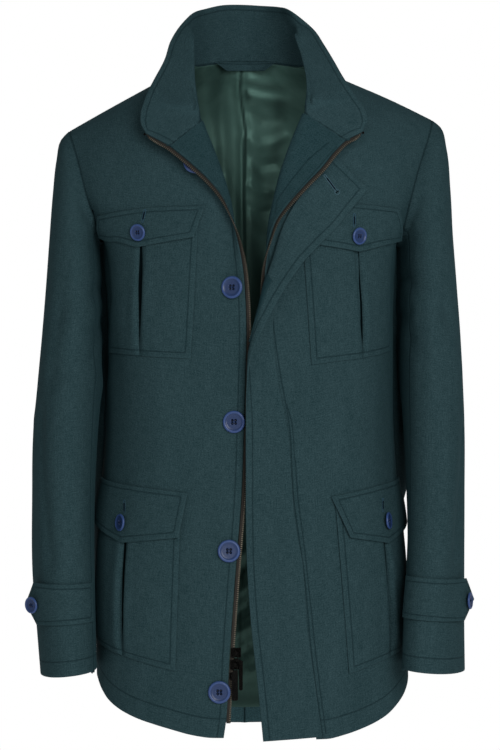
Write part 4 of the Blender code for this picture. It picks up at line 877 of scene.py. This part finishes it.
def mathNode(tree, operation, *values, clamp=False):
    given = {"i%d" % k: value for k, value in enumerate(values)}
    return addNode(tree, "ShaderNodeMath", dict(operation=operation, use_clamp=clamp), **given).outputs[0]


def mixColour(tree, share, a, b):
    return addNode(tree, "ShaderNodeMix", dict(data_type="RGBA"), i0=share, i6=a, i7=b).outputs[2]


def noiseOf(tree, scale, detail=2.0, **sockets):
    return addNode(tree, "ShaderNodeTexNoise", Scale=scale, Detail=detail, **sockets).outputs[0]


def fieldOf(tree, name):
    return addNode(tree, "ShaderNodeAttribute", dict(attribute_name=name)).outputs["Fac"]


def nearness(tree, away, width):
    # 1 at a distance of nought, 0 from the width on
    return mathNode(tree, "SUBTRACT", 1.0, mathNode(tree, "DIVIDE", away, width), clamp=True)


# grain of the cloth from its lengths: flecks of fibre, slubs along warp and weft, and a fine diagonal twill
grainLook = dict(fleckScale=700.0, slubScale=620.0, slubStretch=0.14, twillHigh=0.45, fleckHigh=1.2)
tree, width = newGroup("clothGrain", "Twill mm", 1.3, ("Fleck", "Slub", "Height"))
uvs = addNode(tree, "ShaderNodeUVMap", dict(uv_map="cloth")).outputs[0]
fleck = noiseOf(tree, grainLook["fleckScale"], Vector=uvs, Roughness=0.6)
slubs = []
for stretch in ((grainLook["slubStretch"], 1.0, 1.0), (1.0, grainLook["slubStretch"], 1.0)):
    stretched = addNode(tree, "ShaderNodeMapping", Vector=uvs, Scale=stretch).outputs[0]
    slubs.append(noiseOf(tree, grainLook["slubScale"], 1.0, Vector=stretched, Roughness=0.5))
both = mathNode(tree, "SUBTRACT", mathNode(tree, "ADD", *slubs), 1.0)
slub = mathNode(tree, "MULTIPLY_ADD", both, 1.5, 0.5, clamp=True)
lengths = addNode(tree, "ShaderNodeSeparateXYZ", Vector=uvs)
diagonal = mathNode(tree, "ADD", lengths.outputs[0], lengths.outputs[1])
turns = mathNode(tree, "MULTIPLY", mathNode(tree, "DIVIDE", diagonal, width), math.tau)
twill = mathNode(tree, "MULTIPLY_ADD", mathNode(tree, "SINE", turns), 0.5, 0.5)
fleckHeight = mathNode(tree, "MULTIPLY", fleck, grainLook["fleckHigh"])
clothGrain = giveOut(tree, fleck, slub, mathNode(tree, "MULTIPLY_ADD", twill, grainLook["twillHigh"], fleckHeight))

# how near a point lies to a line of stitching or a sewn join, from the fields on the mesh; the wool dents there and
# is darkened there as painted shade in the groove
tree, width = newGroup("stitchGroove", "Width mm", 1.5, ("Groove",))
masks = [nearness(tree, mathNode(tree, "ABSOLUTE", fieldOf(tree, field)), width)
         for field in ("seam", "hem", "traced", "join")]
groove = mathNode(tree, "MAXIMUM", mathNode(tree, "MAXIMUM", *masks[:2]), mathNode(tree, "MAXIMUM", *masks[2:]))
stitchGroove = giveOut(tree, mathNode(tree, "SMOOTH_MIN", groove, 1.0, 0.2))

# cloth is rubbed a little paler along its edges
tree, width = newGroup("rubbedEdge", "Width mm", 3.0, ("Rubbed",))
nearEdge = nearness(tree, fieldOf(tree, "edge"), width)
rubbedEdge = giveOut(tree, mathNode(tree, "MULTIPLY", nearEdge, noiseOf(tree, 38.0)))


def newMaterial(name, **uniform):
    look = bpy.data.materials.new(name)
    look.use_nodes = True
    shader = look.node_tree.nodes["Principled BSDF"]
    for key, value in uniform.items():
        shader.inputs[key.replace("_", " ")].default_value = value
    return look, look.node_tree, shader


def useGroup(tree, group, **sockets):
    return addNode(tree, "ShaderNodeGroup", dict(node_tree=group), **sockets)


def surfaced(tree, shader, colour, rough, roughness, height, bump, deep):
    # colour, roughness between two values, and bumps this strong and this many metres deep
    tree.links.new(colour, shader.inputs["Base Color"])
    spread = addNode(tree, "ShaderNodeMapRange", Value=rough, To_Min=roughness[0], To_Max=roughness[1])
    tree.links.new(spread.outputs[0], shader.inputs["Roughness"])
    bumps = addNode(tree, "ShaderNodeBump", Strength=bump, Distance=deep, Height=height)
    tree.links.new(bumps.outputs[0], shader.inputs["Normal"])


# dark and groove: colour and share of the painted shade along stitching and sewn joins
woolLook = dict(base=(0.0093, 0.0240, 0.0275, 1), pale=(0.0335, 0.0640, 0.0720, 1), dark=(0.003, 0.008, 0.010, 1),
                # slit: colour of the painted shade on the floor of the pockets' slits
                rubbed=(0.032, 0.062, 0.07, 1), slit=(0.0006, 0.0012, 0.0014, 1), tint=(0.3, 0.85, 1.0, 1),
                fleck=0.6, slub=0.42, cloud=0.3, cloudScale=9.0, groove=0.54, rubbing=0.2, twill=0.25,
                bump=0.3, deep=0.0006, sheen=0.02, specular=0.08, roughness=(0.82, 0.96), contrast=(0.36, 0.64))


def woolMaterial(name, **other):
    look = dict(woolLook, **other)
    made, tree, shader = newMaterial(name, Specular_IOR_Level=look["specular"], Specular_Tint=look["tint"],
                                     Sheen_Weight=look["sheen"], Sheen_Roughness=0.5, Sheen_Tint=look["tint"])
    grain = useGroup(tree, clothGrain).outputs
    groove = useGroup(tree, stitchGroove).outputs[0]
    rubbed = useGroup(tree, rubbedEdge).outputs[0]
    low, high = look["contrast"]
    contrast = addNode(tree, "ShaderNodeMapRange", Value=grain["Fleck"], From_Min=low, From_Max=high).outputs[0]
    mixed = mathNode(tree, "MULTIPLY", contrast, look["fleck"])
    mixed = mathNode(tree, "MULTIPLY_ADD", grain["Slub"], look["slub"], mixed)
    mixed = mathNode(tree, "MULTIPLY_ADD", noiseOf(tree, look["cloudScale"]), look["cloud"], mixed)
    middle = (look["fleck"] + look["slub"] + look["cloud"]) / 2 - 0.5
    colour = mixColour(tree, mathNode(tree, "SUBTRACT", mixed, middle, clamp=True), look["base"], look["pale"])
    colour = mixColour(tree, mathNode(tree, "MULTIPLY", rubbed, look["rubbing"]), colour, look["rubbed"])
    # painted shade in the grooves along stitching and sewn joins
    colour = mixColour(tree, mathNode(tree, "MULTIPLY", groove, look["groove"]), colour, look["dark"])
    # painted shade: near black on the floor of the pockets' pleat slits
    colour = mixColour(tree, fieldOf(tree, "pleat"), colour, look["slit"])
    height = mathNode(tree, "SUBTRACT", mathNode(tree, "MULTIPLY", grain["Height"], look["twill"]), groove)
    surfaced(tree, shader, colour, grain["Slub"], look["roughness"], height, bump=look["bump"], deep=look["deep"])
    return made


wool = woolMaterial("tealWool")
# a brighter copy of the wool: painted light for the back's inner hem band
paintedLightWool = woolMaterial("paintedLightWool", base=(0.021, 0.056, 0.064, 1), pale=(0.068, 0.143, 0.162, 1))
facingWool = woolMaterial("facingWool", base=(0.0062, 0.0190, 0.0220, 1), pale=(0.0235, 0.0500, 0.0570, 1))
darkWool = woolMaterial("darkWool", base=(0.006, 0.018, 0.021, 1), pale=(0.014, 0.034, 0.04, 1))

satinLook = dict(base=(0.0290, 0.0690, 0.0590, 1), pale=(0.080, 0.155, 0.134, 1), dark=(0.004, 0.010, 0.009, 1),
                 cloudScale=14.0, fold=0.85, twill=0.5, roughness=(0.3, 0.46))
satin, tree, shader = newMaterial("greenSatin", Specular_IOR_Level=0.28, Specular_Tint=(0.55, 1.0, 0.85, 1))
# cloudy tone from the satin's base to its pale colour, which is its highlight colour: random tone and painted
# highlights in one
cloudy = noiseOf(tree, satinLook["cloudScale"], 3.0, Roughness=0.55)
colour = mixColour(tree, cloudy, satinLook["base"], satinLook["pale"])
# painted shade along the lining's folds, towards the satin's dark colour
fold = mathNode(tree, "MULTIPLY", fieldOf(tree, "pleat"), satinLook["fold"])
height = useGroup(tree, clothGrain, Twill_mm=satinLook["twill"]).outputs["Height"]
surfaced(tree, shader, mixColour(tree, fold, colour, satinLook["dark"]), cloudy, satinLook["roughness"], height,
         bump=0.12, deep=0.0003)


# pale: how many times as bright its twist's paler places are
threadLook = dict(twistScale=900.0, pale=1.7, roughness=(0.5, 0.75), specular=0.12, tint=(0.3, 0.75, 1.0, 1))


def threadMaterial(name, *colour):
    made, tree, shader = newMaterial(name, Specular_IOR_Level=threadLook["specular"],
                                     Specular_Tint=threadLook["tint"])
    twist = noiseOf(tree, threadLook["twistScale"], 1.0)
    pale = [c * threadLook["pale"] for c in colour]
    surfaced(tree, shader, mixColour(tree, twist, (*colour, 1), (*pale, 1)), twist, threadLook["roughness"], twist,
             bump=0.5, deep=0.0002)
    return made


thread = threadMaterial("woolThread", 0.005, 0.014, 0.017)
buttonThread = threadMaterial("buttonThread", 0.004, 0.008, 0.025)
# near black: painted shade laid into the buttonholes
paintedSlitShade = threadMaterial("paintedSlitShade", 0.002, 0.003, 0.004)
holeThread = threadMaterial("buttonholeThread", 0.050, 0.092, 0.122)
flapHoleThread = threadMaterial("flapHoleThread", 0.022, 0.052, 0.085)

tapeLook = dict(dark=(0.009, 0.008, 0.006, 1), pale=(0.022, 0.018, 0.014, 1), twill=0.9, roughness=(0.7, 0.9))
tape, tree, shader = newMaterial("zipTape", Specular_IOR_Level=0.3)
grain = useGroup(tree, clothGrain, Twill_mm=tapeLook["twill"]).outputs
surfaced(tree, shader, mixColour(tree, grain["Fleck"], tapeLook["dark"], tapeLook["pale"]),
         grain["Slub"], tapeLook["roughness"], grain["Height"], bump=0.4, deep=0.0004)


def metalMaterial(name, bright, dull, roughness, dentScale, bump, deep):
    # tarnished from bright to dull in patches, and dented
    made, tree, shader = newMaterial(name, Metallic=1.0)
    tarnish = noiseOf(tree, 260.0, 4.0, Roughness=0.65)
    share = addNode(tree, "ShaderNodeMapRange", Value=tarnish, From_Min=0.35, From_Max=0.65).outputs[0]
    colour = mixColour(tree, share, bright, dull)
    surfaced(tree, shader, colour, tarnish, roughness, noiseOf(tree, dentScale), bump, deep)
    return made


brass = metalMaterial("antiqueBrass", (0.20, 0.185, 0.145, 1), (0.085, 0.076, 0.058, 1),
                      roughness=(0.35, 0.6), dentScale=1400.0, bump=0.15, deep=0.0001)
darkMetal = metalMaterial("darkMetal", (0.05, 0.048, 0.045, 1), (0.010, 0.0095, 0.009, 1),
                          roughness=(0.12, 0.37), dentScale=420.0, bump=0.9, deep=0.003)

# the colour in the sewing holes is painted shade
buttonLook = dict(body=(0.0105, 0.0250, 0.0760, 1), rim=(0.0270, 0.0590, 0.1720, 1), holeShade=(0.003, 0.005, 0.014, 1),
                  swirlScale=170.0, swirl=0.35, onRim=0.8, roughness=(0.28, 0.45))
buttonBlue, tree, shader = newMaterial("buttonBlue", Specular_IOR_Level=0.3, Coat_Weight=0.1, Coat_Roughness=0.25)
swirl = noiseOf(tree, buttonLook["swirlScale"], 3.0, Distortion=1.5)
onRim = mathNode(tree, "MULTIPLY", fieldOf(tree, "rim"), buttonLook["onRim"])
share = mathNode(tree, "MULTIPLY_ADD", swirl, buttonLook["swirl"], onRim, clamp=True)
colour = mixColour(tree, share, buttonLook["body"], buttonLook["rim"])
# painted shade in the four sewing holes
surfaced(tree, shader, mixColour(tree, fieldOf(tree, "hole"), colour, buttonLook["holeShade"]), swirl,
         buttonLook["roughness"], swirl, bump=0.1, deep=0.0002)
print("materials made")

clothMaterials = {
    "facing": (facingWool, "teal_wool"), "lining": (satin, "green_lining"), "zip_tape": (tape, "zip_tape"),
    "fly_strip": (darkWool, "teal_wool"), "": (wool, "teal_wool"),
}
# mm of wool inside each front's edge and inside the hems, before the lining starts
insideLook = dict(lined=("front", "back", "sleeve"), front=62, hem=30)
bothSides = ("collar", "storm_flap", "cuff_tab")  # stitching shows on both of their faces
pieces, stitches = {}, {}


def distancesTo(flat, places, atOnce=2000):
    # how far each point is from the nearest of the places
    nearest = np.full(len(flat), farAway)
    there = np.flatnonzero(~np.isnan(flat[:, 0])) if len(places) else np.array([], int)
    for k in range(0, len(there), atOnce):
        part = there[k:k + atOnce]
        nearest[part] = np.sqrt(((flat[part, None] - places[None]) ** 2).sum(2).min(1))
    return nearest


def lineInside(name, fine, thing, kinds, spots):
    # satin on the inner face, wool along its edges, and a brighter copy of the wool inside the back's hem as painted
    # light where the fronts shade it
    thing.data.materials.append(satin)
    thing.data.materials.append(paintedLightWool)
    away = edgeDistances(fine)
    lined = away["bottom"] > insideLook["hem"] * mm
    if name.startswith("front"):
        lined &= away["last" if name == "front_right" else "first"] > insideLook["front"] * mm
    lined = lined.ravel()
    hemmed = 2 if name.startswith("back") else 0
    inside = [(1 if lined[spot[0]] else hemmed) if kind == 1 else 0 for kind, spot in zip(kinds, spots)]
    thing.data.polygons.foreach_set("material_index", np.array(inside, int))


def sewCloth(name, fine):
    fields = seamFields(name, fine)
    flat = fine["points"].reshape(-1, 3)
    ends = np.array(sorted({a for a, _ in fine["border"]}))
    joined = reaches[name][ends] > 0
    fields["edge"], fields["join"] = distancesTo(flat, flat[ends[~joined]]), distancesTo(flat, flat[ends[joined]])
    thing, kinds, spots = clothPiece(name + "_cloth", fine, reaches[name], dict(fields, pleat=fine["pleat"]))
    look, slot = byStart(clothMaterials, name)
    pieces[name] = dressed(thing, look, name, bodyOf[name])
    if name.startswith(insideLook["lined"]):
        lineInside(name, fine, thing, kinds, spots)
    lines = []
    for title in ("seam", "hem", "traced"):
        for points, out in isoLines(fine, fields[title]):
            for side in (1, -1) if name.startswith(bothSides) else (1,):
                lines.append((points + out * side * fine["wall"] / 2, out * side))
    if lines:
        stitches[name] = dressed(threadMesh(name + "_stitches", runsAlong(lines)), thread, body=bodyOf[name])


for name, fine in fines.items():
    sewCloth(name, fine)
print("cloth built", sum(len(o.data.polygons) for o in pieces.values()), "faces")


# shares of the radius; section: half of it, out from the back, over the raised rim, into the dish
# turns: how far some hang turned about the upright, degrees, towards +X; push: mm a turned one stands further off
# drops: mm one hangs down on its thread; widest: points this near to the greatest radius are its edge
buttonShape = dict(
    section=((0.0, 0.0), (0.5, 0.0), (0.80, 0.0), (0.93, 0.035), (0.985, 0.09), (1.0, 0.15), (0.985, 0.215),
             (0.94, 0.27), (0.87, 0.297), (0.80, 0.288), (0.74, 0.25), (0.68, 0.215), (0.60, 0.2)),
    steps=64, dishRings=16, dishDeep=0.012, rimFrom=0.78, rimAbove=0.05,
    holeOut=0.2, holeRadius=0.095, holeDepth=0.17, holeEdge=(0.75, 1.25), thread=0.045, slip=0.035, threadAbove=0.02,
    turns={"button_cuff_right": 26, "button_front_2": -22, "button_front_3": -6, "button_hip_right": -18,
           "button_hip_left": 24, "button_chest_left": 8},
    push=0.5, drops={"button_front_1": (-2.5, 0, -5.0)}, widest=0.995)


def buttonPlace(name):
    # centre of a button's back, its outward direction, an upward one, and its radius
    points = np.array([v.co[:] for v in frame["nodes"][name].data.vertices])
    centre = points.mean(0)
    axis = np.linalg.svd(points - centre)[2][2]
    along = (points - centre) @ axis
    around = np.linalg.norm(points - centre - along[:, None] * axis, axis=1)
    widest = along[around > around.max() * buttonShape["widest"]].mean()
    if along.max() - widest < widest - along.min():
        axis, along = -axis, -along
    up = np.array([0, 0, 1.0]) - axis * axis[2]
    return centre + axis * along.min(), axis, up / np.linalg.norm(up), around.max()


def makeButton(name):
    shape = buttonShape
    base, axis, up, radius = buttonPlace(name)
    turned = math.radians(shape["turns"].get(name, 0))
    swing = Matrix.Rotation(turned, 3, "Z")
    axis, up = np.array(swing @ Vector(axis)), np.array(swing @ Vector(up))
    base = base + axis * shape["push"] * mm * abs(math.sin(turned))
    base = base + np.array(shape["drops"].get(name, (0, 0, 0))) * mm
    across = np.cross(up, axis)
    steps, rings, section = shape["steps"], shape["dishRings"], list(shape["section"])
    front = len(section) - 1
    inner, level = section[-1]
    section += [(inner * (1 - k / rings), level - shape["dishDeep"] * k / rings) for k in range(1, rings)]
    angles = [math.pi / 4 + math.pi / 2 * k for k in range(4)]
    holes = [(shape["holeOut"] * math.cos(a), shape["holeOut"] * math.sin(a)) for a in angles]
    verts, rim, hole, faces = [], [], [], []
    for ring, (r, z) in enumerate(section[1:], 1):
        for k in range(steps):
            x, y = r * math.cos(math.tau * k / steps), r * math.sin(math.tau * k / steps)
            depth = 0.0
            if ring >= front:
                gap = min(math.hypot(x - a, y - b) for a, b in holes) / shape["holeRadius"]
                depth = 1 - partWay(gap, *shape["holeEdge"])
            verts.append(base + (across * x + up * y + axis * (z - depth * shape["holeDepth"])) * radius)
            rim.append(1.0 if shape["rimFrom"] < r and z > shape["rimAbove"] else 0.0)
            hole.append(depth)
    for centre in (section[0], section[-1]):
        verts.append(base + axis * centre[1] * radius)
        rim.append(0.0)
        hole.append(0.0)
    last = len(section) - 2
    for k in range(steps):
        m = (k + 1) % steps
        faces.append((len(verts) - 2, m, k))
        faces += [(a * steps + k, a * steps + m, (a + 1) * steps + m, (a + 1) * steps + k) for a in range(last)]
        faces.append((len(verts) - 1, last * steps + k, last * steps + m))
    thing = dressed(meshThing(name + "_turned", verts, faces), buttonBlue, name)
    giveField(thing, "rim", rim)
    giveField(thing, "hole", hole)
    runs = []
    top = base + axis * radius * (section[-1][1] + shape["threadAbove"])
    for side in (-1, 1):
        for slip in (-shape["slip"], shape["slip"]):
            low, high = ((across * (holes[0][0] * side + slip) + up * holes[0][1] * end) * radius for end in (-1, 1))
            runs.append((top + low, top + high, axis, radius * shape["thread"]))
    dressed(threadMesh(name + "_thread", runs, 0), buttonThread)


for name in frame["nodes"]:
    if name.startswith("button_"):
        makeButton(name)
print("buttons made")

# piece, ends as the camera sees them (x, z) in mm, and whether it has an eyelet at its second end
buttonholes = [
    ("storm_flap", (92, -115), (107, -135), True),
    ("flap_chest_right", (-129, -158), (-132, -171), False),
    ("flap_chest_left", (128, -163), (128, -177), False),
    ("flap_hip_right", (-154, -515), (-154, -530), False),
    ("flap_hip_left", (163, -513), (163, -527), False),
]
# mm; slit and eyelet: radii of the near-black threads laid into the hole as painted shade, the eyelet's stitches
# going round outside it; round: first, last and step in degrees of the stitches round a plain end and round an
# eyelet
buttonholeLook = dict(pitch=0.62, inner=0.7, outer=1.8, radius=0.3, slit=1.0, slitSink=-0.1, eyelet=1.9,
                      round=(-60, 61, 24), roundEyelet=(-160, 161, 16))


def makeButtonhole(count, name, first, second, eyelet):
    look, fine = buttonholeLook, fines[name]
    surface = surfaceOf(fine)
    (a, n), (b, _) = (castOn(surface, fine, *place) for place in (first, second))
    shown = 1 if n @ (np.array(camera.location) - a) > 0 else -1
    half = shown * fine["wall"] / 2
    a, b, n = a + n * half, b + n * half, n * shown
    total = np.linalg.norm(b - a)
    along = (b - a) / total
    side = np.cross(n, along)
    runs = []

    def stitchFrom(start, way, wider=0):
        # a stitch from the hole's edge outwards, on the nearest places of the piece's outer face
        ring = []
        for k in ("inner", "outer"):
            place = start + way * (look[k] + wider) * mm
            found = np.array(surface.find_nearest(Vector(place))[0])
            ring.append(found + outAt(fine, found) * half)
        runs.append((*ring, n, look["radius"] * mm))

    for at in np.arange(0, total, look["pitch"] * mm):
        for way in (-1, 1):
            stitchFrom(a + along * at, side * way)
    for end, outward in ((a, -1), (b, 1)):
        wider = look["eyelet"] if eyelet and outward == 1 else 0
        for turned in range(*look["roundEyelet" if wider else "round"]):
            way = along * outward * math.cos(math.radians(turned)) + side * math.sin(math.radians(turned))
            stitchFrom(end, way, wider)
    edging = threadMesh("buttonhole_%d" % count, runs)
    dressed(edging, holeThread if name == "storm_flap" else flapHoleThread)
    # near-black threads over the slit and the eyelet, as painted shade where the hole opens
    dark = [(a, b, n, look["slit"] * mm)]
    if eyelet:
        dark.append((b - along * mm, b + along * mm, n, look["eyelet"] * mm))
    dressed(threadMesh("buttonhole_slit_%d" % count, dark, look["slitSink"]), paintedSlitShade)


for count, facts in enumerate(buttonholes, 1):
    makeButtonhole(count, *facts)

# mm; section: a tooth's outline as (across, along) shares of its half sizes; ends: where the rows start and stop
zipLook = dict(pitch=2.4, length=1.05, across=2.4, thick=1.7, beyond=0.6, bevel=0.2, ends=(1.2, 1.0), clear=1.0,
               section=((-1, -1), (0.55, -1), (1, -0.45), (1, 0.45), (0.55, 1), (-1, 1)))
metalLook = dict(bevel=0.7, segments=3)


def toothCorners(place, along, across, out):
    return [place + (across * x * zipLook["across"] + along * y * zipLook["length"] + out * z * zipLook["thick"])
            * mm / 2 for z in (-1, 1) for x, y in zipLook["section"]]


def rounded(thing, width, segments, limit="ANGLE"):
    bevel = thing.modifiers.new("rounding", "BEVEL")
    bevel.width, bevel.segments, bevel.limit_method = width * mm, segments, limit


def makeTeeth(side):
    fine = fines["zip_tape_" + side]
    rims = np.concatenate([borders["front_" + side], borders["collar"]])
    gaps = [np.mean([np.linalg.norm(rims - p, axis=1).min() for p in fine["points"][::6, c]]) for c in (0, -1)]
    outer, beside = (0, 1) if gaps[0] > gaps[1] else (-1, -2)
    line, inner = fine["points"][:, outer], fine["points"][:, beside]
    at = distancesAlong(line)
    metal = [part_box(node) for node in ("slider_upper", "slider_lower", "zip_box", "zip_pin")]
    verts, faces = [], []
    for stop in np.arange(zipLook["ends"][0] * mm, at[-1] - zipLook["ends"][1] * mm, zipLook["pitch"] * mm):
        place, back = valueAt(stop, at, line), valueAt(stop, at, inner)
        clear = zipLook["clear"] * mm
        if any(all(low[k] - clear < place[k] < high[k] + clear for k in range(3)) for low, high in metal):
            continue
        k = min(int(np.searchsorted(at, stop)), len(line) - 1)
        along = unit(line[k] - line[k - 1])
        across = place - back
        across = unit(across - along * (across @ along))
        base = len(verts)
        place = place + across * (zipLook["beyond"] - zipLook["across"] / 2) * mm
        verts += toothCorners(place, along, across, np.cross(along, across))
        faces += [tuple(base + k for k in range(5, -1, -1)), tuple(base + 6 + k for k in range(6))]
        faces += [(base + k, base + (k + 1) % 6, base + 6 + (k + 1) % 6, base + 6 + k) for k in range(6)]
    thing = dressed(meshThing("zip_teeth_" + side, verts, faces), brass)
    thing.data.shade_flat()
    rounded(thing, zipLook["bevel"], 1)


for side in ("right", "left"):
    makeTeeth(side)
metalNodes = {"zip_pin": brass, **dict.fromkeys(("zip_top_stop", "slider", "pull", "zip_box"), darkMetal)}
for name, thing in frame["nodes"].items():
    look = byStart(metalNodes, name)
    if look:
        for place in thing.material_slots:
            place.material = look
        rounded(thing, metalLook["bevel"], metalLook["segments"])
print("zip made")

# the last one is a narrow light into the neck
lights = [
    dict(name="key", kind="AREA", energy=69.5, size=1.6, place=(0.85, -3.1, 0.35), aim=cameraPlace["centre"]),
    dict(name="fill", kind="AREA", energy=7, size=1.4, place=(-1.6, -2.6, -0.2), aim=cameraPlace["centre"]),
    dict(name="neck", kind="SPOT", energy=130, shadow_soft_size=0.12, spot_size=math.radians(5.4), spot_blend=1.0,
         place=(-0.5, -2.6, 0.5), aim=(0.06, 0.05, -0.07)),
]
stageLook = dict(ambient=0.22, floorHeight=-1.45, floorHalf=4, floor=(0.82, 0.82, 0.82, 1), floorGlow=0.25)


def addLight(name, kind, place, aim, **settings):
    lamp = inScene(name, bpy.data.lights.new(name, kind))
    for key, value in settings.items():
        setattr(lamp.data, key, value)
    lamp.location = place
    lamp.rotation_euler = (Vector(aim) - lamp.location).to_track_quat("-Z", "Y").to_euler()


for facts in lights:
    addLight(**facts)
world = bpy.data.worlds.new("studio")
bpy.context.scene.world = world
world.use_nodes = True
seen = addNode(world.node_tree, "ShaderNodeLightPath").outputs["Is Camera Ray"]
strength = mathNode(world.node_tree, "MULTIPLY_ADD", seen, 1 - stageLook["ambient"], stageLook["ambient"])
background = world.node_tree.nodes["Background"]
background.inputs["Color"].default_value = (1, 1, 1, 1)
world.node_tree.links.new(strength, background.inputs["Strength"])
bpy.context.scene.view_settings.view_transform = "Standard"
corners = [(x * stageLook["floorHalf"], y * stageLook["floorHalf"], stageLook["floorHeight"])
           for x, y in ((-1, -1), (1, -1), (1, 1), (-1, 1))]
floor = meshThing("floor", corners, [(0, 1, 2, 3)])
pale, tree, shader = newMaterial("paleFloor", Base_Color=stageLook["floor"], Roughness=0.8,
                                 Emission_Color=(1, 1, 1, 1), Emission_Strength=stageLook["floorGlow"])
floor.data.materials.append(pale)

# what each piece hangs from or lies on
restsOn = {
    "back_right": ["back_left"], "back_left": ["back_right"],
    "collar": ["front_right", "front_left", "back_right", "back_left"], "lining_back": ["back_right", "back_left"],
    "hanger_loop": ["collar"], "storm_flap": ["front_left"], "fly_strip": ["storm_flap"],
}
for side in ("right", "left"):
    restsOn["front_" + side] = ["back_" + side]
    restsOn["sleeve_%s_upper" % side] = ["front_" + side, "back_" + side]
    restsOn["sleeve_%s_under" % side] = restsOn["cuff_tab_" + side] = ["sleeve_%s_upper" % side]
    for kind in ("facing", "pocket_chest", "pocket_hip", "flap_chest", "flap_hip"):
        restsOn[kind + "_" + side] = ["front_" + side]
